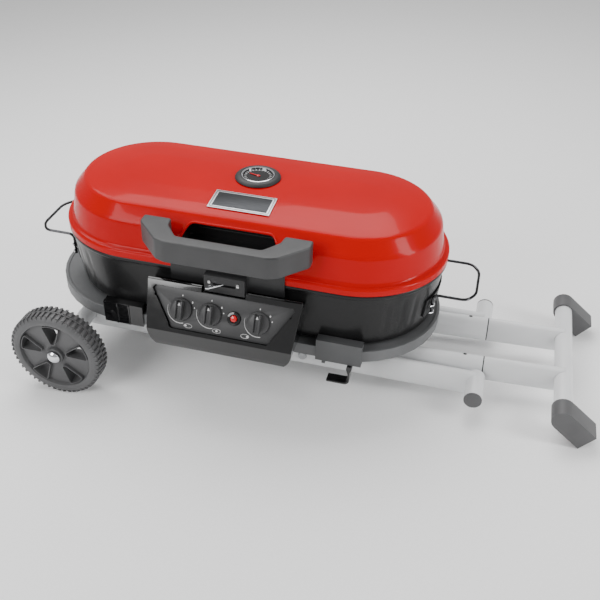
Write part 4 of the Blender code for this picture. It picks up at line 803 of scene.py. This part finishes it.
def build_trim(settings):
    place, up = GAUGE_PLACE, (0, 0, 1)
    bezel = [(29.5, 0.2), (29.5, 5), (31, 6), (33.5, 5.6), (38, 3.6), (40, 1.2), (40, 0.2)]
    put("gauge_bezel", lathe(scaled(bezel), place, up, 96), "matte_black", "lid",
        35, ("thermometer_bezel",))
    chrome = [(26.5, 2), (26.5, 5), (27.5, 6.2), (29, 6), (29.4, 4.5), (29.4, 2)]
    put("gauge_chrome_ring", lathe(scaled(chrome), place, up, 96), "chrome", "lid")
    stem = [(0, 2.6), (26.3, 2.6), (26.3, 0.2), (8, 0.2), (8, -9), (3, -10), (3, -45), (0, -45)]
    put("gauge_face", lathe(scaled(stem), place, up, 64), "black_plastic", "lid",
        35, ("thermometer_dial",))
    tick = box_mesh(mm(-2, -0.35, 0), mm(2, 0.35, 0.15))
    ticks = ring(tick, 24, 22 * MM, radians(10), "white_print")
    put("gauge_marks", turned_mesh(ticks, Matrix.Translation(place + Vector(mm(0, 0, 2.7)))),
        "white_print", "lid")
    needle = prism([mm(-4, -1.4), mm(17, -0.5), mm(17, 0.5), mm(-4, 1.4)],
                   3.1 * MM, 3.8 * MM, Matrix.Rotation(radians(165), 4, "Z"))
    hub = lathe([mm(0, 4.6), mm(2, 4.2), mm(2.6, 3), mm(0, 2.8)], (0, 0, 0), up, 24)
    put("gauge_needle", turned_mesh(join([needle, hub]), Matrix.Translation(place)), "red_plastic", "lid")
    tilt = Matrix.Translation(mm(0, -73.5, 90.3)) @ Matrix.Rotation(radians(4.3), 4, "X")
    plate = rounded_edges(box_mesh(mm(-53.3, -26.3, 0), mm(53.3, 26.3, 1.4)), 0.7 * MM)
    put("badge_backing", turned_mesh(plate, tilt), "badge_metal", "lid", 35, ("badge_plate",))
    outer = [(-50.5, -23.5), (50.5, -23.5), (50.5, 23.5), (-50.5, 23.5)]
    frame_path = [Vector((x * MM, y * MM, 1.5 * MM)) for x, y in outer]
    border = wire(soften_corners(frame_path, 3 * MM, 4, True), 0.55 * MM, True, 3)
    put("badge_border", turned_mesh(border, tilt), "matte_black", "lid")
    field = rounded_edges(box_mesh(mm(-47, -20, 1.2), mm(47, 20, 1.9)), 0.3 * MM, 2)
    put("badge_field", turned_mesh(field, tilt), "badge_field", "lid")


def build_latch(settings):
    softened("latch_plate", "matte_black", settings.plastic, 3)
    softened("latch_lever", "chrome", 0.5 * MM)
    to_front = Matrix.Translation(mm(0, -175.6, 0)) @ Matrix.Rotation(pi / 2, 4, "X")
    marks = []
    for x, open_shackle in ((-26 * MM, False), (23 * MM, True)):
        body = rectangle(x - 2.2 * MM, -9 * MM, x + 2.2 * MM, -5.4 * MM)
        marks.append(prism(body, 0, PRINT_T, to_front))
        centre = (x, -5.4 * MM + (1.0 * MM if open_shackle else 0.0))
        bow = arc(centre, 1.9 * MM, 0, pi, 10) + arc(centre, 1.1 * MM, pi, 0, 10)
        marks.append(prism(bow, 0, PRINT_T, to_front))
    put("latch_marks", join(marks), "white_print", "lid")


# ------------------------------------------------------------------ controls

def build_controls(settings):
    put("control_housing_moulding", housing_mesh(), "black_plastic", "grill", 35, ("control_housing",))
    softened("control_panel", "satin_plastic", 0.7 * MM)
    for name in KNOB_X:
        build_knob(name)
    slope = KNOB_SLOPE
    bezel = [(6.6, 0.1), (6.6, 2.4), (8, 3.2), (11, 2.6), (12.2, 0.1)]
    shadow_band = lathe(scaled(bezel), panel_point(IGNITER_X, slope), PANEL_OUT, 48)
    put("igniter_collar", shadow_band, "black_plastic", "grill")
    button = [(0, 4.2), (3.5, 3.9), (5.2, 3.2), (5.8, 2), (5.8, -7.9), (0, -7.9)]
    cap = lathe(scaled(button), panel_point(IGNITER_X, slope), PANEL_OUT, 40)
    put("igniter_cap", cap, "red_plastic", "igniter", 35, ("igniter_button",))
    build_prints()
    for node in ("gas_manifold", "gas_inlet"):
        softened(node, "brass", 0.5 * MM)


def housing_mesh():
    """The hollow housing: a sloping front with a rounded rim round the sunken panel."""
    rim = 4.6 * MM
    top, foot = panel_point(0, -9 * MM, rim), panel_point(0, 75 * MM, rim)
    side = [(-bowl_radius(-31 * MM) - 0.6 * MM, -31 * MM), (-bowl_radius(-98 * MM) - 0.6 * MM, -98 * MM),
            mm(-158.9, -112), mm(-158.9, -140.6), mm(-194, -140.6),
            mm(-211, -126), mm(-213, -118), (foot.y, foot.z), (top.y, top.z),
            (top.y + 4 * MM, -16 * MM), (top.y + 6 * MM, -31 * MM)]
    half, corner, foot_z = 133.6 * MM, 46 * MM, -140.6 * MM
    right = arc((half - 8 * MM - corner, foot_z + corner), corner, -pi / 2, 0, 14)
    right += [(half, -15 * MM)]
    front = right + [(-x, z) for x, z in reversed(right)]
    front_prism = prism(front, 120 * MM, 260 * MM, Matrix.Rotation(pi / 2, 4, "X"))
    shape = cut(prism(side, -140 * MM, 140 * MM, TO_X), [front_prism], "INTERSECT")
    bm = bmesh.new()
    bm.from_mesh(shape)
    bmesh.ops.remove_doubles(bm, verts=bm.verts, dist=1e-5)
    bmesh.ops.dissolve_limit(bm, angle_limit=radians(0.5), verts=bm.verts, edges=bm.edges)
    shape = rounded_edges(mesh_from(bm), 5 * MM, 5, 25)
    hollow = box_mesh(mm(-118, -190, -137), mm(118, -130, -34))
    notch = box_mesh(mm(-38, -230, -29), (38 * MM, -RIM_R, 0))
    recess = prism(panel_outline(0.5 * MM), -3.6 * MM, 20 * MM, panel_matrix(0, PANEL_SLOPE))
    window = prism(panel_outline(-5 * MM), -25 * MM, 2 * MM, panel_matrix(0, PANEL_SLOPE))
    inlet = rod_mesh(mm(-94, -169.6, -115), mm(-94, -169.6, -155), 9 * MM)
    return cut(shape, [hollow, notch, recess, window, inlet])


def panel_outline(grow):
    """The panel's outline: u along X, v up the slope from its lower edge."""
    top, foot, radius = 122 * MM + grow, 88 * MM + grow, 8 * MM
    low, high = -grow, PANEL_SLOPE + grow
    left = arc((-foot + radius, low + radius), radius, pi, 3 * pi / 2, 6)
    right = arc((foot - radius, low + radius), radius, 3 * pi / 2, 2 * pi, 6)
    ends = [(top, high - 6 * MM), (top - 4 * MM, high), (-top + 4 * MM, high), (-top, high - 6 * MM)]
    return left + right + ends


def build_knob(name):
    """A skirted knob with two grip ridges and a white pointer."""
    x = KNOB_X[name]
    out = 0.4 * MM
    skirt = [(0, 6.5), (13.5, 6.3), (15.8, 5.2), (18.6, 3.6), (19.4, 1.2), (19.4, 0), (3.5, 0),
             (3.5, -8), (0, -8)]
    disc = lathe(scaled(skirt), (0, 0, 0), (0, 0, 1), 64)
    ridges = []
    for side in (-1, 1):
        u = side * 4.9 * MM
        reach = 15.6 * MM
        outline = rectangle(u - 1.5 * MM, -reach, u + 1.5 * MM, reach)
        ridges.append(rounded_edges(prism(outline, 4 * MM, 16.6 * MM), 0.9 * MM, 2))
    outline = rectangle(*mm(-4.8, -13.5, 4.8, 13.5))
    bridge = rounded_edges(prism(outline, 4 * MM, 13.2 * MM), 0.6 * MM, 2)
    place = panel_matrix(x, KNOB_SLOPE, out)
    body = "knob_" + name
    put(body + "_moulding", turned_mesh(join([disc, bridge] + ridges), place), "satin_plastic", body, 35,
        ("knob_" + name,))
    pointer = prism([mm(-2.4, 8), mm(2.4, 8), mm(0, 12.8)], 13.2 * MM, 13.4 * MM)
    put(body + "_pointer", turned_mesh(pointer, place), "white_print", body)


def build_prints():
    """White markings on the panel: heat arcs, off and flame marks, and a burner sign under each knob."""
    marks = []
    for x in KNOB_X.values():
        place = panel_matrix(x, KNOB_SLOPE, 0.05 * MM)
        steps = 16
        start, end = radians(170), radians(285)
        outer = arc((0, 0), 24.2 * MM, start, end, steps)
        inner = []
        for i in range(steps, -1, -1):
            angle = start + (end - start) * i / steps
            radius = (23.1 + 0.7 * (1 - i / steps)) * MM
            inner.append((radius * cos(angle), radius * sin(angle)))
        marks.append(prism(outer + inner, 0, PRINT_T, place))
        for angle, size in ((90, 1.7), (38, 2.1), (14, 1.5)):
            c = (23.2 * MM * cos(radians(angle)), 23.2 * MM * sin(radians(angle)))
            flame = [(c[0] + size * MM * u, c[1] + size * MM * v)
                     for u, v in ((0, 1), (0.55, 0.2), (0.5, -0.6), (0, -0.9), (-0.5, -0.6), (-0.55, 0.2))]
            marks.append(prism(flame, 0, PRINT_T, place))
    for x, filled in ((-55 * MM, -1), (-5 * MM, 0), (44 * MM, 1)):
        place = panel_matrix(x, 60 * MM, 0.05 * MM)
        oval = oval_line(7 * MM, 3.4 * MM)
        ring_mesh = wire([Vector((u, v, 0.1 * MM)) for u, v in oval], 0.35 * MM, True, 2)
        marks.append(turned_mesh(ring_mesh, place))
        centre = filled * 4.2 * MM
        dot = [(centre + u * 0.34, v * 0.5) for u, v in oval_line(6 * MM, 3.4 * MM)]
        marks.append(prism(dot, 0, PRINT_T, place))
    put("panel_prints", join(marks), "white_print", "grill")


def oval_line(half_u, half_v, steps=24):
    return [(half_u * cos(2 * pi * i / steps), half_v * sin(2 * pi * i / steps)) for i in range(steps)]


# ------------------------------------------------------------------ stand

def build_wheels(settings):
    for name, side in (("front", -1), ("rear", 1)):
        centre = WHEEL_CENTRE + Vector((0, side * WHEEL_MID_Y, 0))
        place = Matrix.Translation(centre) @ facing((0, side, 0))
        body = "wheel_" + name
        put(body + "_moulding", turned_mesh(wheel_body(settings), place), "grey_plastic", body, 35, (body,))
        put(body + "_tread", turned_mesh(wheel_tread(settings), place), "grey_plastic", body)
        softened("axle_cap_" + name, "chrome", 0.3 * MM)
    softened("wheel_axle", "steel", 0.6 * MM)


def wheel_body(settings):
    """Rim, thin web and hub, with openings between ribbed spokes."""
    radius, half = settings.radius / MM - 3.0, settings.width / 2 / MM
    profile = [(6.3, half - 1), (12.2, half - 1), (14.4, half), (15.6, half - 1.4), (16.2, half - 8),
               (64, half - 8), (66.5, half - 1.5), (68.5, half - 0.4), (74.5, half - 0.4), (78, half - 2),
               (radius, half - 5), (radius, -half + 5), (78, -half + 2), (70, -half + 0.4),
               (67, -half + 3), (65.5, -half + 12), (18, -half + 12), (16.5, -half + 1), (6.3, -half + 1)]
    wheel = lathe(scaled(profile), (0, 0, 0), (0, 0, 1), 128)
    pockets = []
    ribs = []
    for i in range(settings.spokes):
        turn = Matrix.Rotation(2 * pi * i / settings.spokes + radians(18), 4, "Z")
        pocket = [(25, -3.2), (60.5, -15.5), (62.5, -8), (63, 0), (62.5, 8), (60.5, 15.5), (25, 3.2)]
        shape = [tuple(p) for p in soften_corners(scaled(pocket), 3 * MM, 4, True)]
        pockets.append(prism(shape, -half * 2 * MM, half * 2 * MM, turn))
        edge = [Vector((u, v, (half - 8.2) * MM)) for u, v in shape]
        ribs.append(turned_mesh(wall_round(edge, 1.3 * MM, 6.5 * MM), turn))
    return join([cut(wheel, pockets)] + ribs)


def wall_round(path, thickness, tall):
    """A thin upright rib that follows a closed outline."""
    bm = bmesh.new()
    count = len(path)
    rings = []
    for i, point in enumerate(path):
        along = (path[(i + 1) % count] - path[i - 1]).normalized()
        out = Vector((along.y, -along.x, 0)) * thickness
        corners = (point, point + out, point + out + Vector((0, 0, tall)), point + Vector((0, 0, tall)))
        rings.append([bm.verts.new(c) for c in corners])
    for first, second in zip(rings, rings[1:] + rings[:1]):
        bridge_rings(bm, first, second)
    bmesh.ops.recalc_face_normals(bm, faces=bm.faces)
    return mesh_from(bm)


def wheel_tread(settings):
    """Two rows of cross lugs with a rib between them, and small teeth at each edge."""
    radius, half = settings.radius, settings.width / 2
    meshes = []
    for row_side, start in ((-1, 0.0), (1, pi / settings.lugs)):
        low, high = sorted((row_side * 2.2 * MM, row_side * (half - 5 * MM)))
        lug = box_mesh((-3.4 * MM, -2.5 * MM, low), (0, 2.5 * MM, high))
        meshes.append(ring(rounded_edges(lug, 0.6 * MM, 2), settings.lugs, radius, start, "grey_plastic"))
        tooth = [(0, 0), mm(0, 2.6), mm(-6.5, 3.4), mm(-8, 0)]
        shape = prism(tooth, -1.3 * MM, 1.3 * MM, Matrix.Rotation(pi / 2, 4, "X"))
        flip = Matrix.Translation((0, 0, row_side * (half - 5 * MM))) @ Matrix.Diagonal((1, 1, row_side, 1))
        meshes.append(ring(turned_mesh(shape, flip), settings.lugs, radius - 1.6 * MM, start, "grey_plastic"))
    band = [(radius - 4 * MM, 1.6 * MM), (radius - 0.4 * MM, 1.2 * MM), (radius - 0.4 * MM, -1.2 * MM),
            (radius - 4 * MM, -1.6 * MM)]
    meshes.append(lathe(band, (0, 0, 0), (0, 0, 1), 128))
    return join(meshes)


def build_stand(settings):
    steel = settings.steel
    for node in ("axle_tube", "foot_bar", "leg_outer_front", "leg_outer_rear", "leg_inner_front",
                 "leg_inner_rear", "leg_extension_front", "leg_extension_rear"):
        softened(node, "grey_paint", steel)
    # Black bands of painted shadow where the leg tubes meet.
    build_seam_shadow_bands()
    for node in ("latch_cap_front", "latch_cap_rear"):
        softened(node, "grey_plastic", 0.8 * MM)
    for node in ("foot_front", "foot_rear"):
        softened(node, "grey_plastic", 3 * MM, 4)
    for node in ("scissor_pin_front", "scissor_pin_rear", "pivot_rod"):
        softened(node, "steel", 0.4 * MM)
    for node in ("pivot_bracket", "saddle_bracket_front", "saddle_bracket_rear"):
        softened(node, "dark_steel", steel)
    for node in ("table_guide_front", "table_guide_rear"):
        softened(node, "black_plastic", 0.8 * MM)
    softened("release_lever", "black_plastic", 2.4 * MM, 4)


def build_seam_shadow_bands():
    """The black collar where each leg end slides into its sleeve, and the lock's window beside it."""
    rise = Matrix.Translation(CROSSING) @ Matrix.Rotation(INNER_RISE, 4, "Y")
    for name, side in (("front", -1), ("rear", 1)):
        # Painted shadow: a black band 3.2 mm wide stands in for the shade in the gap where the leg tubes
        # meet.
        shadow_band = prism(oval_line(11.6 * MM, 24.6 * MM, 48), 315.4 * MM, 318.6 * MM,
                       rise @ Matrix.Translation((0, side * INNER_LEG_Y, 0)) @ TO_X)
        window = prism(oval_line(3.4 * MM, 2.2 * MM, 16), 24.2 * MM, 25.1 * MM,
                       rise @ Matrix.Translation((284 * MM, side * INNER_LEG_Y, 0)))
        put("leg_seam_" + name, join([shadow_band, window]), "matte_black", "inner_frame")


def build_tables(settings):
    for node in ("side_table_left", "side_table_right"):
        softened(node, "table_plastic", settings.plastic, 3)


def build_loops(settings):
    for name, side in (("left", -1), ("right", 1)):
        stand_off = bowl_radius(-48 * MM) + 0.8 * MM + 5.5 * MM
        half = 57 * MM
        wall_x = side * (HALF_STRAIGHT + sqrt(stand_off ** 2 - half ** 2))
        out_x = side * 401 * MM
        z, foot_z = -40 * MM, -80 * MM
        corners = [(wall_x, half, foot_z), (wall_x, half, z), (out_x - side * 14 * MM, half, z),
                   (out_x, half - 22 * MM, z), (out_x, -half + 22 * MM, z),
                   (out_x - side * 14 * MM, -half, z), (wall_x, -half, z), (wall_x, -half, foot_z)]
        loop = wire(soften_corners(corners, 11 * MM, 8), 2.5 * MM)
        # The loop's darkened chrome paints in the dark reflections it shows.
        put("loop_" + name, loop, "painted_dark_chrome", "grill", 35, ("wire_handle_" + name,))
        softened("handle_plate_" + name, "matte_black", 0.6 * MM)
        clips = []
        for y in (-half, half):
            for clip_z in mm(-60, -74):
                clips.append(wire([Vector((wall_x - side * 2.6 * MM, y - 7 * MM, clip_z)),
                                   Vector((wall_x + side * 2.6 * MM, y - 3 * MM, clip_z)),
                                   Vector((wall_x + side * 2.6 * MM, y + 3 * MM, clip_z)),
                                   Vector((wall_x - side * 2.6 * MM, y + 7 * MM, clip_z))], 1.6 * MM))
        put("loop_clips_" + name, join(clips), "chrome", "grill")


def build_cooking(settings):
    for node in ("grate_left", "grate_right"):
        softened(node, "cast_iron", 1.2 * MM, 2)
    for node in ("burner_left", "burner_centre", "burner_right"):
        softened(node, "steel", 0.3 * MM)
    softened("water_pan", "steel", 0.3 * MM)
    port = lathe([mm(0, 0.2), mm(1.1, 0.2), mm(1.3, 0), (0, 0)], (0, 0, 0), (0, 0, 1), 10)
    rows = []
    for x in (-225, 97):
        for y in (-70, 70):
            start = (x * MM, y * MM, -67.95 * MM)
            rows.append(row(port.copy(), 13, start, mm(10.5, 0, 0), "cast_iron"))
    put("burner_ports", join(rows), "cast_iron", "grill")


# ------------------------------------------------------------------ stage

def camera_matrix():
    """The camera's pose: turned right, tipped down and rolled, in the grill's frame."""
    sy, cy = sin(CAMERA_YAW), cos(CAMERA_YAW)
    sp, cp = sin(CAMERA_PITCH), cos(CAMERA_PITCH)
    ahead = Vector((-sy * cp, cy * cp, -sp))
    right = Vector((cy, sy, 0))
    down = ahead.cross(right)
    sr, cr = sin(CAMERA_ROLL), cos(CAMERA_ROLL)
    rolled_right = right * cr - down * sr
    rolled_down = right * sr + down * cr
    basis = Matrix((rolled_right, -rolled_down, -ahead)).transposed().to_4x4()
    return GRILL @ Matrix.Translation(CAMERA_PLACE) @ basis


def area_light(name, place, target, size, power, colour=(1, 1, 1)):
    data = bpy.data.lights.new(name, "AREA")
    data.shape = "RECTANGLE"
    data.size, data.size_y = size
    data.energy = power
    data.color = colour
    obj = linked(name, data)
    obj.location = place
    obj.rotation_mode = "QUATERNION"
    obj.rotation_quaternion = (Vector(target) - Vector(place)).to_track_quat("-Z", "Y")
    return obj


def build_stage(settings):
    floor = bpy.data.objects.new("studio_floor", box_mesh((-12, -12, -0.02), (12, 12, 0)))
    floor.data.materials.append(MATS["floor"])
    bpy.context.scene.collection.objects.link(floor)
    world = bpy.data.worlds.new("studio")
    bpy.context.scene.world = world
    world.use_nodes = True
    backdrop = world.node_tree.nodes["Background"]
    backdrop.inputs["Color"].default_value = (1, 1, 1, 1)
    backdrop.inputs["Strength"].default_value = settings.world
    centre = (-0.1, 0, 0.15)
    area_light("overhead_softbox", (-0.5, 0.7, 1.9), centre, (2.2, 1.4), settings.key)
    area_light("front_softbox", (-1.3, -1.9, 1.5), centre, (1.2, 1.2), settings.fill)
    area_light("right_strip", (2.0, -0.4, 0.9), centre, (0.5, 1.6), settings.fill * 0.8)
    data = bpy.data.cameras.new("camera")
    data.sensor_width = 36.0
    data.lens = CAMERA_LENS
    camera = linked("camera", data)
    camera.matrix_world = camera_matrix()
    bpy.context.scene.camera = camera


# ------------------------------------------------------------------ operators

def operator(idname, label, doc, build, group):
    """An operator that builds one group of pieces from its settings."""
    def execute(self, context):
        build(getattr(context.scene, group))
        return {"FINISHED"}
    name = "GRILL_OT_" + idname
    return type(name, (bpy.types.Operator,),
                {"__doc__": doc, "bl_idname": "grill." + idname, "bl_label": label, "execute": execute})


GROUPS = {"grill_shell": GrillShellSettings, "grill_wheels": GrillWheelSettings,
          "grill_edges": GrillEdgeSettings, "grill_stage": GrillStageSettings}
OPERATORS = [
    operator("lid", "Lid", "Build the red enamelled lid shell", build_lid, "grill_shell"),
    operator("bowl", "Bowl", "Build the black enamelled bowl and the hinges", build_bowl, "grill_shell"),
    operator("handle", "Handle", "Build the lid handle and its cup", build_handle, "grill_edges"),
    operator("trim", "Lid Trim", "Build the thermometer and the blank badge", build_trim, "grill_edges"),
    operator("latch", "Latch", "Build the latch plate and lever", build_latch, "grill_edges"),
    operator("controls", "Controls", "Build the control housing, knobs and gas train", build_controls,
             "grill_edges"),
    operator("wheels", "Wheels", "Build the two wheels and their axle", build_wheels, "grill_wheels"),
    operator("stand", "Stand", "Build the folding stand and the brackets", build_stand, "grill_edges"),
    operator("tables", "Side Tables", "Build the two sliding side tables", build_tables, "grill_edges"),
    operator("loops", "Carrying Loops", "Build the two wire carrying loops", build_loops, "grill_edges"),
    operator("cooking", "Cooking Parts", "Build the grates, burners and pan", build_cooking, "grill_edges"),
    operator("stage", "Stage", "Build the floor, lights and camera", build_stage, "grill_stage"),
]


class GRILL_PT_builder(bpy.types.Panel):
    """Buttons and sizes for every part of the grill."""
    bl_idname = "GRILL_PT_builder"
    bl_label = "Portable Gas Grill"
    bl_space_type = "VIEW_3D"
    bl_region_type = "UI"
    bl_category = "Grill"

    def draw(self, context):
        for group in GROUPS:
            settings = getattr(context.scene, group)
            box = self.layout.box()
            for key in settings.bl_rna.properties.keys():
                if key not in ("rna_type", "name"):
                    box.prop(settings, key)
        for item in OPERATORS:
            self.layout.operator(item.bl_idname)


def register():
    for name, group in GROUPS.items():
        bpy.utils.register_class(group)
        setattr(bpy.types.Scene, name, PointerProperty(type=group))
    for item in OPERATORS + [GRILL_PT_builder]:
        bpy.utils.register_class(item)


def unregister():
    for item in reversed(OPERATORS + [GRILL_PT_builder]):
        bpy.utils.unregister_class(item)
    for name, group in GROUPS.items():
        delattr(bpy.types.Scene, name)
        bpy.utils.unregister_class(group)


def main():
    register()
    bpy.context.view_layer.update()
    make_materials()
    TREES.update({"ring": ring_tree(), "row": row_tree()})
    for item in OPERATORS:
        getattr(bpy.ops.grill, item.bl_idname.split(".")[1])()


if __name__ == "__main__":
    main()
